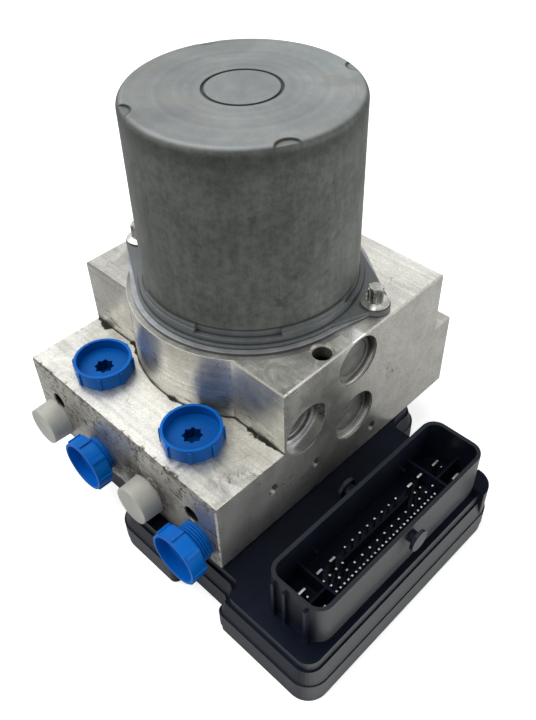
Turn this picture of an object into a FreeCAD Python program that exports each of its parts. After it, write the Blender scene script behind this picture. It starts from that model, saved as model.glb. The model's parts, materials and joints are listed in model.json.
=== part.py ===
import FreeCAD, Part
import math
import os
from types import SimpleNamespace

import Sketcher
from FreeCAD import Placement, Rotation, Vector

# Brake pressure control module: a drilled aluminium valve block, a pump motor on top of it and a
# plastic control unit under it. All lengths are millimetres. The origin is where the motor axis
# meets the underside of the control unit's lid. X runs along the port face, +X points to the
# connector, -Y is the side with the brake ports and +Z is the motor axis.

SIZES = {
    # Valve block, measured from the motor axis and from the block's underside
    "block_width": 100.0,
    "front_reach": 22.0,
    "shelf_depth": 30.8,
    "upper_back": 46.0,
    "lower_back": 56.2,
    "unit_height": 20.0,
    "shelf_height": 32.4,
    "ledge_height": 33.4,
    "block_height": 59.4,
    "boss_reach": 6.6,
    "edge_break": 0.5,
    # Brake ports and mounting threads
    "port_spacing": 26.6,
    "port_height": 8.0,
    "port_radius": 6.1,
    "port_depth": 15.0,
    "inlet_spacing": 48.0,
    "inlet_offset": -0.8,
    "inlet_setback": 14.85,
    "inlet_radius": 8.1,
    "inlet_depth": 14.0,
    "mount_thread_radius": 3.3,
    "mount_thread_depth": 15.0,
    "mount_spacing": 74.4,
    "mount_height": 18.5,
    "countersink_radius": 4.1,
    "top_thread_x": 45.2,
    "top_thread_y": -13.0,
    "top_thread_depth": 8.0,
    # Pump, accumulators and dampers
    "pump_height": 49.2,
    "pump_bore_radius": 9.3,
    "pump_plug_length": 17.0,
    "plug_recess": 2.4,
    "mouth_step": 0.4,
    "mouth_depth": 1.2,
    "sleeve_radius": 5.6,
    "sleeve_gap": 0.8,
    "piston_radius": 3.2,
    "piston_head_radius": 4.4,
    "eccentricity": 1.6,
    "chamber_gap": 1.5,
    "chamber_depth": 20.6,
    "accumulator_height": 22.6,
    "accumulator_radius": 9.6,
    "accumulator_bottom": 17.0,
    "accumulator_cap_length": 3.4,
    "accumulator_piston_length": 10.0,
    "pump_wire": 0.9,
    "accumulator_wire": 1.2,
    "damper_y": -24.9,
    "damper_height": 35.6,
    "damper_radius": 10.0,
    "damper_seat": 10.5,
    "damper_bottom": 26.0,
    "damper_chamber_radius": 8.2,
    "damper_cap_length": 4.0,
    "snap_ring_thickness": 1.2,
    "snap_ring_width": 2.6,
    "snap_groove_depth": 0.5,
    "ball_radius": 2.2,
    "ball_recess": 0.9,
    "ball_bore_depth": 5.0,
    "gallery_radius": 1.3,
    "gallery_end": 8.0,
    "low_gallery_y": 10.9,
    "low_gallery_height": 8.1,
    "middle_gallery_y": -20.3,
    "middle_gallery_height": 14.3,
    "front_gallery_y": -41.4,
    "front_gallery_height": 19.3,
    # Solenoid valves in the underside of the block
    "valve_column_spacing": 24.0,
    "valve_front_row": -38.0,
    "valve_middle_row": -20.0,
    "valve_back_row": 22.0,
    "valve_collar_radius": 5.2,
    "valve_collar_depth": 4.0,
    "valve_stem_radius": 3.4,
    "valve_stem_depth": 11.5,
    "valve_sleeve_radius": 3.1,
    "valve_sleeve_length": 9.6,
    "coil_radius": 7.6,
    "coil_height": 8.8,
    "coil_gap": 0.4,
    "sensor_radius": 6.0,
    "sensor_y": -2.0,
    # Motor
    "plate_reach": 4.6,
    "plate_thickness": 1.2,
    "hub_radius": 16.0,
    "hub_depth": 4.0,
    "hub_lip": 1.2,
    "collar_wall": 2.0,
    "bearing_outer_radius": 11.0,
    "bearing_width": 7.0,
    "race_thickness": 2.0,
    "shaft_radius": 4.0,
    "can_radius": 38.0,
    "can_draft": 0.3,
    "can_height": 69.6,
    "can_wall": 2.3,
    "can_top_round": 2.6,
    "flange_reach": 2.8,
    "flange_thickness": 1.2,
    "bead_reach": 1.7,
    "bead_height": 1.7,
    "step_reach": 1.1,
    "step_height": 2.8,
    "step_angle": 38.0,
    "first_step_angle": -11.0,
    "second_step_angle": -91.0,
    "ear_radius": 5.3,
    "ear_angle": 19.0,
    "ear_web_reach": 16.5,
    "screw_to_can": 3.3,
    "stake_count": 4,
    "stake_angle": 65.0,
    "groove_radius": 12.0,
    "groove_width": 0.9,
    "groove_depth": 0.5,
    "stake_radius": 4.0,
    "stake_depth": 0.6,
    "motor_screw_radius": 2.5,
    "screw_washer_radius": 5.0,
    "screw_washer_height": 1.5,
    "screw_head_radius": 2.9,
    "screw_head_height": 5.4,
    "motor_screw_depth": 12.0,
    "magnet_thickness": 4.6,
    "magnet_angle": 74.0,
    "magnet_overlap": 2.0,
    "air_gap": 0.7,
    "winding_gap": 1.0,
    "slot_count": 12,
    "slot_width": 4.4,
    "slot_depth": 12.0,
    "slot_opening": 1.8,
    "winding_overhang": 4.6,
    "commutator_radius": 9.0,
    "commutator_height": 9.0,
    "commutator_gap": 2.6,
    "holder_gap": 1.1,
    "holder_thickness": 2.0,
    "holder_base": 3.0,
    "brush_width": 4.2,
    "brush_length": 9.0,
    "brush_box_end": 27.0,
    "brush_box_wall": 1.3,
    "bush_radius": 7.5,
    "bush_height": 6.0,
    "journal_radius": 6.0,
    "ring_radius": 9.5,
    "ring_height": 8.0,
    "ring_wall": 1.8,
    "needle_count": 10,
    "pilot_radius": 3.2,
    "pilot_bush_radius": 5.0,
    "pilot_bush_height": 6.0,
    "contact_gap": 0.7,
    "contact_bore_radius": 3.3,
    "contact_pin_radius": 0.8,
    "contact_pin_spacing": 3.0,
    # Control unit outline, from the motor axis
    "unit_left": -48.5,
    "unit_front": -62.6,
    "lobe_left": 1.0,
    "lobe_right": 33.0,
    "lobe_front": -75.1,
    "notch_front": -69.1,
    "wing_left": 55.2,
    "unit_right": 97.4,
    "wing_back": 25.4,
    "body_right": 53.0,
    "unit_back": 40.4,
    "outline_round": 8.0,
    "notch_round": 2.5,
    "lid_inset": 0.3,
    "lid_thickness": 1.8,
    "lid_rim": 3.0,
    "seal_thickness": 0.4,
    "flange_top": 10.5,
    "shoulder_top": 16.0,
    "shoulder_inset": 0.5,
    "shoulder_angle": 16.0,
    "plinth_inset": 2.9,
    "unit_wall": 2.5,
    "unit_plate": 2.5,
    "window_margin": 5.4,
    "window_round": 5.0,
    "gasket_width": 2.0,
    "gasket_depth": 1.2,
    "gasket_offset": 0.8,
    "post_radius": 4.6,
    "unit_screw_x": 24.0,
    "unit_screw_front": -50.0,
    "unit_screw_back": 34.0,
    "unit_screw_radius": 2.0,
    "unit_screw_head": 3.6,
    "unit_screw_head_height": 3.0,
    "unit_screw_depth": 8.0,
    "counterbore_height": 12.0,
    "board_height": 5.2,
    "board_thickness": 1.6,
    # Connector shroud
    "shroud_left": 68.65,
    "shroud_right": 92.0,
    "shroud_front": -64.95,
    "shroud_back": 21.4,
    "shroud_height": 18.7,
    "shroud_wall": 1.4,
    "shroud_round": 5.6,
    "end_pocket": 12.6,
    "cross_wall": 0.9,
    "cross_wall_height": 8.0,
    "divider_x": 82.4,
    "rib_wall_x": 78.9,
    "rib_wall_front": -40.0,
    "rib_wall_back": -4.0,
    "rib_wall_height": 6.0,
    "foot_rib_first": 73.5,
    "foot_rib_second": 78.3,
    "foot_rib_third": 86.8,
    "foot_rib_width": 1.2,
    "foot_rib_reach": 1.5,
    "peg_y": -21.8,
    "peg_height": 15.0,
    "peg_neck_radius": 2.2,
    "peg_neck_length": 2.6,
    "peg_disc_radius": 3.9,
    "peg_disc_thickness": 1.3,
    "nub_front": -43.9,
    "nub_back": 2.6,
    "nub_height": 7.8,
    "nub_radius": 0.7,
    "nub_length": 2.2,
    "pin_pitch": 3.84,
    "pin_width": 0.64,
    "pin_height": 7.5,
    "pin_row_1": 77.0,
    "pin_row_1_front": -35.8,
    "pin_row_2": 83.0,
    "pin_row_2_front": -49.5,
    "pin_row_3": 85.6,
    "pin_row_3_front": -49.9,
    "pin_row_4": 87.8,
    "pin_row_4_front": -49.8,
    "end_pins_x": 80.3,
    "end_pins_front": -50.1,
    "end_pins_back": -2.4,
    "end_pin_pitch": 3.1,
    "blade_column_1": 77.7,
    "blade_column_2": 86.4,
    "front_blade_y": -57.6,
    "back_blade_y": 13.2,
    "blade_width": 3.4,
    "small_blade_x": 77.0,
    "small_blade_1": -48.4,
    "small_blade_2": -42.1,
    "small_blade_3": -1.0,
    "small_blade_4": 4.7,
    "small_blade_width": 2.4,
    "blade_thickness": 0.8,
    "lug_width": 8.0,
    "lug_length": 8.2,
    "lug_height": 2.8,
    # Shipping plugs in the ports
    "inlet_head_radius": 10.45,
    "outlet_head_radius": 9.9,
    "plug_head_wall": 1.0,
    "plug_rib_count": 8,
    "plug_rib_width": 1.2,
    "plug_rib_reach": 0.6,
    "inlet_head_height": 5.8,
    "plug_floor": 1.8,
    "star_radius": 3.7,
    "star_depth": 4.5,
    "outlet_head_height": 5.8,
    "left_plug_standoff": 3.3,
    "right_plug_standoff": 5.9,
    "plug_engagement": 9.0,
    "cap_radius": 7.8,
    "cap_length": 7.9,
    "cap_draft": 0.35,
    # Clearances
    "press_clearance": 0.02,
    "running_clearance": 0.04,
    "free_clearance": 0.3,
}

doc = FreeCAD.newDocument("BrakeModule")
sheet = doc.addObject("Spreadsheet::Sheet", "Sizes")
for row, (alias, number) in enumerate(SIZES.items(), start=1):
    sheet.set(f"A{row}", alias.replace("_", " "))
    sheet.set(f"B{row}", str(number))
    sheet.setAlias(f"B{row}", alias)
doc.recompute()


class Size:
    """A number with the sheet expression that it stands for."""

    def __init__(self, value, text):
        self.value = float(value)
        self.text = text

    def __float__(self):
        return self.value

    def __add__(self, other):
        return Size(self.value + float(other), f"({self.text} + {text_of(other)})")

    def __radd__(self, other):
        return Size(float(other) + self.value, f"({text_of(other)} + {self.text})")

    def __sub__(self, other):
        return Size(self.value - float(other), f"({self.text} - {text_of(other)})")

    def __rsub__(self, other):
        return Size(float(other) - self.value, f"({text_of(other)} - {self.text})")

    def __mul__(self, other):
        return Size(self.value * float(other), f"({self.text} * {text_of(other)})")

    def __rmul__(self, other):
        return Size(float(other) * self.value, f"({text_of(other)} * {self.text})")

    def __truediv__(self, other):
        return Size(self.value / float(other), f"({self.text} / {text_of(other)})")

    def __neg__(self):
        return Size(-self.value, f"(0 - {self.text})")


def text_of(number):
    return number.text if isinstance(number, Size) else f"({float(number):.6f})"


def cosine(angle):
    return Size(math.cos(math.radians(float(angle))), f"cos({text_of(angle)} * 1 deg)")


def sine(angle):
    return Size(math.sin(math.radians(float(angle))), f"sin({text_of(angle)} * 1 deg)")


def root(square):
    return Size(math.sqrt(float(square)), f"sqrt({text_of(square)})")


S = SimpleNamespace(**{alias: Size(sheet.get(alias), f"Sizes.{alias}") for alias in SIZES})

# Heights above the lid's underside that many pieces share
BLOCK_BASE = S.unit_height
SHELF = BLOCK_BASE + S.shelf_height
LEDGE = BLOCK_BASE + S.ledge_height
BLOCK_TOP = BLOCK_BASE + S.block_height
HALF_WIDTH = S.block_width / 2
PUMP_Z = BLOCK_BASE + S.pump_height
ACCUMULATOR_Z = BLOCK_BASE + S.accumulator_height
DAMPER_Z = BLOCK_BASE + S.damper_height
PORT_Z = BLOCK_BASE + S.port_height
PLATE_TOP = BLOCK_TOP + S.plate_thickness
CAN_TOP = BLOCK_TOP + S.can_height
HOUSING_BASE = S.lid_rim + S.seal_thickness
BOARD_TOP = S.board_height + S.board_thickness

FACING = {
    "+Z": Rotation(),
    "-Z": Rotation(Vector(1, 0, 0), 180),
    "+X": Rotation(Vector(0, 1, 0), 90),
    "-X": Rotation(Vector(0, 1, 0), -90),
    "+Y": Rotation(Vector(1, 0, 0), -90),
    "-Y": Rotation(Vector(1, 0, 0), 90),
}
SIDES = {"left": -1, "right": 1}
NODES = {}
FULL_TURN = 360


# Building blocks

def bind(feature, prop, size):
    """Give a property a plain value, or tie it to the sheet."""
    if isinstance(size, Size):
        feature.setExpression(prop, size.text)
    else:
        setattr(feature, prop, size)


def seat(feature, at=(0, 0, 0), along="+Z", turn=0):
    """Place a feature with its own Z along a row axis and its base tied to the sheet."""
    rotation = FACING[along].multiply(Rotation(Vector(0, 0, 1), float(turn)))
    feature.Placement = Placement(Vector(*(float(value) for value in at)), rotation)
    for axis, value in zip("xyz", at):
        if isinstance(value, Size):
            feature.setExpression(f"Placement.Base.{axis}", value.text)
    return feature


def node(name, feature):
    """Name a finished sub-part, which is written to a file of that name."""
    feature.Label = name
    NODES[name] = feature
    return feature


def cylinder(name, radius, height, at=(0, 0, 0), along="+Z"):
    feature = doc.addObject("Part::Cylinder", name)
    bind(feature, "Radius", radius)
    bind(feature, "Height", height)
    return seat(feature, at, along)


def box(name, low, high):
    """A box between two corners."""
    feature = doc.addObject("Part::Box", name)
    for prop, start, end in zip(("Length", "Width", "Height"), low, high):
        bind(feature, prop, end - start)
    return seat(feature, low)


def join(name, parts):
    feature = doc.addObject("Part::MultiFuse", name)
    feature.Shapes = parts
    feature.Refine = True
    return feature


def cut(name, base, tools):
    feature = doc.addObject("Part::Cut", name)
    feature.Base = base
    feature.Tool = tools[0] if len(tools) == 1 else join(name + "_tools", tools)
    feature.Refine = True
    return feature


def group(name, parts):
    """Separate solids kept in one sub-part."""
    feature = doc.addObject("Part::Compound", name)
    feature.Links = parts
    return feature


def copies(name, master, places):
    """Identical solids at several places, each a Placement."""
    doc.recompute()
    feature = doc.addObject("Part::Feature", name)
    solids = []
    for place in places:
        solid = master.Shape.copy()
        solid.Placement = place.multiply(solid.Placement)
        solids.append(solid)
    feature.Shape = Part.makeCompound(solids)
    return feature


def new_sketch(body, name, plane, height=None):
    """A sketch on one of the body's own planes, lifted by a height."""
    sketch = body.newObject("Sketcher::SketchObject", name)
    for origin_plane in body.Origin.OriginFeatures:
        if origin_plane.Role == plane:
            sketch.AttachmentSupport = [(origin_plane, "")]
    sketch.MapMode = "FlatFace"
    if height is not None:
        sketch.AttachmentOffset = Placement(Vector(0, 0, float(height)), Rotation())
        if isinstance(height, Size):
            sketch.setExpression("AttachmentOffset.Base.z", height.text)
    return sketch


def constrain(sketch, kind, where, size):
    """A dimension measured from the sketch's origin or of a curve, tied to the sheet."""
    number = sketch.addConstraint(Sketcher.Constraint(kind, *where, float(size)))
    if isinstance(size, Size):
        sketch.setExpression(f"Constraints[{number}]", size.text)


def draw_polygon(sketch, points):
    """A closed outline of straight lines through dimensioned points."""
    first = sketch.GeometryCount
    count = len(points)
    places = [Vector(float(x), float(y), 0) for x, y in points]
    for n in range(count):
        sketch.addGeometry(Part.LineSegment(places[n], places[(n + 1) % count]), False)
    for n, (x, y) in enumerate(points):
        following = first + (n + 1) % count
        sketch.addConstraint(Sketcher.Constraint("Coincident", first + n, 2, following, 1))
        constrain(sketch, "DistanceX", (-1, 1, first + n, 1), x)
        constrain(sketch, "DistanceY", (-1, 1, first + n, 1), y)


def draw_circle(sketch, radius, x=0, y=0):
    centre = Vector(float(x), float(y), 0)
    number = sketch.addGeometry(Part.Circle(centre, Vector(0, 0, 1), float(radius)), False)
    constrain(sketch, "Radius", (number,), radius)
    constrain(sketch, "DistanceX", (-1, 1, number, 3), x)
    constrain(sketch, "DistanceY", (-1, 1, number, 3), y)


def draw_rounded(sketch, corners):
    """A closed outline of level and upright lines whose corners are tangent arcs."""
    count = len(corners)
    first = sketch.GeometryCount
    spots = [(float(x), float(y), float(radius)) for x, y, radius in corners]
    entries, exits, centres = [], [], []
    for n, (x, y, radius) in enumerate(spots):
        before, after = spots[n - 1], spots[(n + 1) % count]
        back = Vector(before[0] - x, before[1] - y, 0).normalize() * radius
        ahead = Vector(after[0] - x, after[1] - y, 0).normalize() * radius
        entries.append(Vector(x, y, 0) + back)
        exits.append(Vector(x, y, 0) + ahead)
        centres.append(Vector(x, y, 0) + back + ahead)
    for n in range(count):
        sketch.addGeometry(Part.LineSegment(exits[n], entries[(n + 1) % count]), False)
    for n in range(count):
        turn = (entries[n] - centres[n]).cross(exits[n] - centres[n]).z
        arc = Part.Arc(entries[n], middle_of_arc(spots[n], centres[n]), exits[n])
        sketch.addGeometry(arc, False)
        start, end = (1, 2) if turn > 0 else (2, 1)
        bend = first + count + n
        incoming = first + (n - 1) % count
        sketch.addConstraint(Sketcher.Constraint("Tangent", incoming, 2, bend, start))
        sketch.addConstraint(Sketcher.Constraint("Tangent", bend, end, first + n, 1))
        constrain(sketch, "Radius", (bend,), corners[n][2])
    for n in range(count):
        level = abs(spots[n][1] - spots[(n + 1) % count][1]) < 1e-9
        sketch.addConstraint(Sketcher.Constraint("Horizontal" if level else "Vertical", first + n))
        kind, coordinate = ("DistanceY", 1) if level else ("DistanceX", 0)
        constrain(sketch, kind, (-1, 1, first + n, 1), corners[n][coordinate])


def middle_of_arc(corner, centre):
    """The point of a corner's arc that lies nearest to the corner."""
    outward = Vector(corner[0], corner[1], 0) - centre
    return centre + outward.normalize() * corner[2]


def body_named(name):
    return doc.addObject("PartDesign::Body", name)


def pad(body, sketch, length, reverse=False, taper=None):
    feature = body.newObject("PartDesign::Pad", sketch.Name + "_pad")
    feature.Profile = sketch
    bind(feature, "Length", length)
    feature.Reversed = reverse
    if taper is not None:
        bind(feature, "TaperAngle", taper)
    body.Tip = feature
    sketch.Visibility = False
    return feature


def pocket(body, sketch, length, upward=False):
    """A pocket below the sketch plane, or above it when upward is set."""
    feature = body.newObject("PartDesign::Pocket", sketch.Name + "_pocket")
    feature.Profile = sketch
    bind(feature, "Length", length)
    feature.Reversed = upward
    body.Tip = feature
    return feature


def around(body, features, count, angle=360):
    """The features repeated about the body's own Z axis."""
    pattern = body.newObject("PartDesign::PolarPattern", body.Name + "_around")
    pattern.Originals = features
    pattern.Axis = (features[0].Profile[0], ["N_Axis"])
    bind(pattern, "Angle", angle)
    bind(pattern, "Occurrences", count)
    body.Tip = pattern
    return pattern


def turned(name, profile, at=(0, 0, 0), along="+Z", sweep=FULL_TURN, turn=0):
    """A solid of revolution from (radius, height) points, or a sector of one about +X."""
    body = body_named(name)
    sketch = new_sketch(body, name + "_profile", "XZ_Plane")
    draw_polygon(sketch, profile)
    feature = body.newObject("PartDesign::Revolution", name + "_turned")
    feature.Profile = sketch
    feature.ReferenceAxis = (sketch, ["V_Axis"])
    bind(feature, "Angle", sweep)
    feature.Midplane = sweep is not FULL_TURN
    body.Tip = feature
    return seat(body, at, along, turn)


def ring(name, inner, outer, low, high, at=(0, 0, 0), along="+Z"):
    return turned(name, [(inner, low), (outer, low), (outer, high), (inner, high)], at, along)


def round_edges(body, radius, test):
    """Round the edges of the body's last feature that pass a test."""
    doc.recompute()
    base = body.Tip
    names = [f"Edge{n}" for n, edge in enumerate(base.Shape.Edges, start=1) if test(edge)]
    feature = body.newObject("PartDesign::Fillet", body.Name + "_round")
    feature.Base = (base, names)
    bind(feature, "Radius", radius)
    body.Tip = feature
    return feature


def circle_at(radius, height):
    """A test for full circles about Z of one radius at one height."""
    def test(edge):
        curve = edge.Curve
        if not isinstance(curve, Part.Circle):
            return False
        return abs(curve.Radius - float(radius)) < 1e-4 and abs(curve.Center.z - float(height)) < 1e-4
    return test


def spring(name, mean_radius, wire, length, turns, at, along):
    """A coil spring of hexagonal wire that starts at a seat and runs along a row axis."""
    helix = doc.addObject("Part::Helix", name + "_path")
    bind(helix, "Radius", mean_radius)
    bind(helix, "Height", length - wire)
    bind(helix, "Pitch", (length - wire) / turns)
    section = doc.addObject("Part::RegularPolygon", name + "_wire")
    section.Polygon = 6
    bind(section, "Circumradius", wire / 2)
    seat(section, (mean_radius, 0, 0), "+Y")
    sweep = doc.addObject("Part::Sweep", name)
    sweep.Sections = [section]
    sweep.Spine = (helix, ["Edge1"])
    sweep.Solid = True
    sweep.Frenet = True
    lift = wire / 2 * (-1 if along[0] == "-" else 1)
    start = [value + lift if axis == along[1] else value for axis, value in zip("XYZ", at)]
    return seat(sweep, start, along)


# Places that several pieces share

PLUG_SEAT = HALF_WIDTH - S.plug_recess - S.pump_plug_length
CAP_INNER = HALF_WIDTH - S.plug_recess - S.accumulator_cap_length
DAMPER_SEAT = HALF_WIDTH - S.damper_seat
HUB_BOTTOM = BLOCK_TOP - S.hub_depth
BEARING_BOTTOM = HUB_BOTTOM + S.hub_lip
BEARING_TOP = BEARING_BOTTOM + S.bearing_width
CHAMBER_BOTTOM = BLOCK_TOP - S.chamber_depth
PILOT_BOTTOM = CHAMBER_BOTTOM - S.pilot_bush_height
CHAMBER_RADIUS = S.ring_radius + S.eccentricity + S.chamber_gap
CAN_INNER = S.can_radius - S.can_wall
BUSH_TOP = CAN_TOP - S.can_wall * 1.7
BUSH_BOTTOM = BUSH_TOP - S.bush_height
CONTACT_Y = S.hub_radius + S.contact_bore_radius + S.contact_gap

# Radii of the rings at the motor's foot, from the can outwards
STEP_RADIUS = S.can_radius + S.step_reach
BEAD_RADIUS = S.can_radius + S.bead_reach
FLANGE_RADIUS = S.can_radius + S.flange_reach
PLATE_RADIUS = S.can_radius + S.plate_reach
BOSS_RADIUS = S.can_radius + S.boss_reach
BLOCK_FRONT = -(BOSS_RADIUS + S.front_reach)
INLET_Y = BLOCK_FRONT + S.inlet_setback
EAR_REACH = S.can_radius + S.screw_washer_radius + S.screw_to_can

# The rotor's stack between the lower bearing and the upper bush
COMMUTATOR_LOW = BEARING_TOP + S.commutator_gap
BRUSH_SLACK = S.free_clearance / 2
BRUSH_Z = COMMUTATOR_LOW + S.commutator_height / 2
BRUSH_BOX_TOP = BRUSH_Z + S.brush_width / 2 + BRUSH_SLACK + S.brush_box_wall
CORE_LOW = BRUSH_BOX_TOP + S.winding_gap + S.winding_overhang
CORE_TOP = BUSH_BOTTOM - S.winding_gap - S.winding_overhang
COIL_TOP = BLOCK_BASE - S.unit_plate - S.coil_gap
PORT_PLACES = [S.port_spacing * step for step in (-1.5, -0.5, 0.5, 1.5)]
COLUMNS = [S.valve_column_spacing * step for step in (-1.5, -0.5, 0.5, 1.5)]
ROWS = [S.valve_front_row, S.valve_middle_row, S.valve_back_row]
GALLERIES = [
    (S.low_gallery_y, BLOCK_BASE + S.low_gallery_height),
    (S.middle_gallery_y, BLOCK_BASE + S.middle_gallery_height),
    (S.front_gallery_y, BLOCK_BASE + S.front_gallery_height),
]
EAR_ANGLES = [S.ear_angle, S.ear_angle + 180]
INLETS = {side: S.inlet_offset + S.inlet_spacing * (sign / 2) for side, sign in SIDES.items()}
UNIT_SCREWS = [(x, y) for x in (-S.unit_screw_x, S.unit_screw_x)
               for y in (S.unit_screw_front, S.unit_screw_back)]


def ear_centre(angle):
    return EAR_REACH * cosine(angle), EAR_REACH * sine(angle)


# Valve block

def blind_hole(name, radius, depth, mouth, into, spill=2.0):
    """A drilled hole with a pointed end, cut from a mouth point into the block."""
    tip = radius * 0.5
    profile = [(0, depth + tip), (radius, depth), (radius, -spill), (0, -spill)]
    return turned(name, profile[::-1], mouth, into)


def stepped_bore(name, steps, mouth, into, spill=1.0):
    """A bore of several radii; each step is a radius and the depth that it ends at."""
    points = [(0, -spill), (steps[0][0], -spill)]
    for number, (radius, depth) in enumerate(steps):
        points.append((radius, depth))
        if number + 1 < len(steps):
            points.append((steps[number + 1][0], depth))
    points.append((0, steps[-1][1]))
    return turned(name, points, mouth, into)


def side_bores(side):
    """Pump, accumulator and damper bores in one end face, and the galleries behind the balls."""
    sign = SIDES[side]
    inward = "-X" if side == "right" else "+X"
    face = HALF_WIDTH * sign
    bore = S.pump_bore_radius
    seat_depth = HALF_WIDTH - PLUG_SEAT
    pump = stepped_bore(f"pump_bore_{side}", [
        (bore + S.mouth_step, S.mouth_depth),
        (bore, seat_depth),
        (S.sleeve_radius + S.press_clearance, HALF_WIDTH - CHAMBER_RADIUS * 0.5),
    ], (face, 0, PUMP_Z), inward)
    accumulator = stepped_bore(f"accumulator_bore_{side}", [
        (S.accumulator_radius + S.mouth_step, S.mouth_depth),
        (S.accumulator_radius, HALF_WIDTH - S.accumulator_bottom),
    ], (face, 0, ACCUMULATOR_Z), inward)
    groove_start = S.damper_seat - S.damper_cap_length - S.snap_ring_thickness - 0.1
    damper = stepped_bore(f"damper_bore_{side}", [
        (S.damper_radius, groove_start),
        (S.damper_radius + S.snap_groove_depth, S.damper_seat - S.damper_cap_length),
        (S.damper_radius, S.damper_seat),
        (S.damper_chamber_radius, HALF_WIDTH - S.damper_bottom),
    ], (face, S.damper_y, DAMPER_Z), inward)
    bores = [pump, accumulator, damper]
    for number, (y, z) in enumerate(GALLERIES):
        bores.append(stepped_bore(f"gallery_{side}_{number}", [
            (S.ball_radius + S.press_clearance, S.ball_bore_depth),
            (S.gallery_radius, HALF_WIDTH - S.gallery_end),
        ], (face, y, z), inward))
    return bores


def motor_cavity():
    """Hub seat, eccentric chamber and pilot bush seat on the motor axis."""
    return stepped_bore("motor_cavity", [
        (S.hub_radius + S.press_clearance, S.hub_depth),
        (CHAMBER_RADIUS, S.chamber_depth),
        (S.pilot_bush_radius + S.press_clearance, S.chamber_depth + S.pilot_bush_height),
        (S.pilot_radius + S.free_clearance, S.chamber_depth + S.pilot_bush_height + 1.5),
    ], (0, 0, BLOCK_TOP), "-Z")


def port_bores():
    """Four wheel ports in the front, two inlets in the shelf and the mounting threads."""
    bores = []
    for number, x in enumerate(PORT_PLACES):
        bores.append(blind_hole(f"port_{number}", S.port_radius, S.port_depth,
                                (x, BLOCK_FRONT, PORT_Z), "+Y"))
        bores.append(cylinder(f"port_gallery_{number}", S.gallery_radius,
                              S.valve_front_row - BLOCK_FRONT,
                              (x, BLOCK_FRONT, PORT_Z), "+Y"))
    for side, sign in SIDES.items():
        x = INLETS[side]
        bores.append(blind_hole(f"inlet_{side}", S.inlet_radius, S.inlet_depth,
                                (x, INLET_Y, SHELF), "-Z"))
        bores.append(cylinder(f"inlet_gallery_{side}", S.gallery_radius,
                              S.front_gallery_y - INLET_Y,
                              (x, INLET_Y, BLOCK_BASE + S.front_gallery_height), "+Y"))
        bores.append(blind_hole(f"front_thread_{side}", S.mount_thread_radius,
                                S.mount_thread_depth,
                                (S.mount_spacing * (sign / 2), BLOCK_FRONT,
                                 BLOCK_BASE + S.mount_height), "+Y"))
    bores.append(stepped_bore("top_thread", [
        (S.countersink_radius, S.countersink_radius - S.mount_thread_radius),
        (S.mount_thread_radius, S.top_thread_depth),
    ], (S.top_thread_x, S.top_thread_y, BLOCK_TOP), "-Z"))
    return bores


def underside_bores():
    """Valve, sensor, contact and screw bores cut from the block's underside."""
    bores = []
    for column, x in enumerate(COLUMNS):
        for line, y in enumerate(ROWS):
            bores.append(stepped_bore(f"valve_bore_{column}_{line}", [
                (S.valve_collar_radius + S.press_clearance, S.valve_collar_depth),
                (S.valve_stem_radius + S.press_clearance, S.valve_stem_depth),
            ], (x, y, BLOCK_BASE), "+Z"))
        bores.append(cylinder(f"valve_riser_{column}", S.gallery_radius,
                              S.middle_gallery_height, (x, S.valve_middle_row, BLOCK_BASE)))
        bores.append(cylinder(f"return_gallery_{column}", S.gallery_radius,
                              S.valve_back_row - S.low_gallery_y,
                              (x, S.low_gallery_y, BLOCK_BASE + S.low_gallery_height), "+Y"))
    bores.append(stepped_bore("sensor_bore", [
        (S.sensor_radius + S.press_clearance, S.valve_collar_depth),
        (S.valve_stem_radius + S.press_clearance, S.valve_stem_depth),
    ], (0, S.sensor_y, BLOCK_BASE), "+Z"))
    bores.append(cylinder("contact_bore", S.contact_bore_radius, S.block_height + 2.0,
                          (0, CONTACT_Y, BLOCK_BASE - 1.0)))
    for number, (x, y) in enumerate(UNIT_SCREWS):
        bores.append(blind_hole(f"unit_thread_{number}",
                                S.unit_screw_radius + S.press_clearance,
                                S.unit_screw_depth + 1.0, (x, y, BLOCK_BASE), "+Z"))
    for number, angle in enumerate(EAR_ANGLES):
        x, y = ear_centre(angle)
        bores.append(blind_hole(f"motor_thread_{number}",
                                S.motor_screw_radius + S.press_clearance,
                                S.motor_screw_depth + 0.5, (x, y, BLOCK_TOP), "-Z"))
    return bores


def valve_block():
    billet = body_named("billet")
    sketch = new_sketch(billet, "billet_profile", "YZ_Plane")
    shelf_wall = BLOCK_FRONT + S.shelf_depth
    draw_polygon(sketch, [
        (BLOCK_FRONT, BLOCK_BASE), (S.lower_back, BLOCK_BASE), (S.lower_back, LEDGE),
        (S.upper_back, LEDGE), (S.upper_back, BLOCK_TOP), (shelf_wall, BLOCK_TOP),
        (shelf_wall, SHELF), (BLOCK_FRONT, SHELF),
    ])
    pad(billet, sketch, S.block_width)
    doc.recompute()
    inner_corners = [(float(shelf_wall), float(SHELF)), (float(S.upper_back), float(LEDGE))]

    def outer_edge(edge):
        ends = [(vertex.Point.y, vertex.Point.z) for vertex in edge.Vertexes]
        return all(math.dist(end, corner) > 1e-3 for end in ends for corner in inner_corners)

    raw = billet.Tip
    names = [f"Edge{n}" for n, edge in enumerate(raw.Shape.Edges, start=1) if outer_edge(edge)]
    broken = billet.newObject("PartDesign::Chamfer", "billet_edges")
    broken.Base = (raw, names)
    bind(broken, "Size", S.edge_break)
    billet.Tip = broken
    seat(billet, (-HALF_WIDTH, 0, 0))
    boss = cylinder("motor_boss", BOSS_RADIUS, BLOCK_TOP - SHELF, (0, 0, SHELF))
    solid = join("milled_block", [billet, boss])
    bores = [motor_cavity(), *port_bores(), *underside_bores()]
    for side in SIDES:
        bores += side_bores(side)
    return node("valve_block", cut("drilled_block", solid, bores))


# Motor

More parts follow.
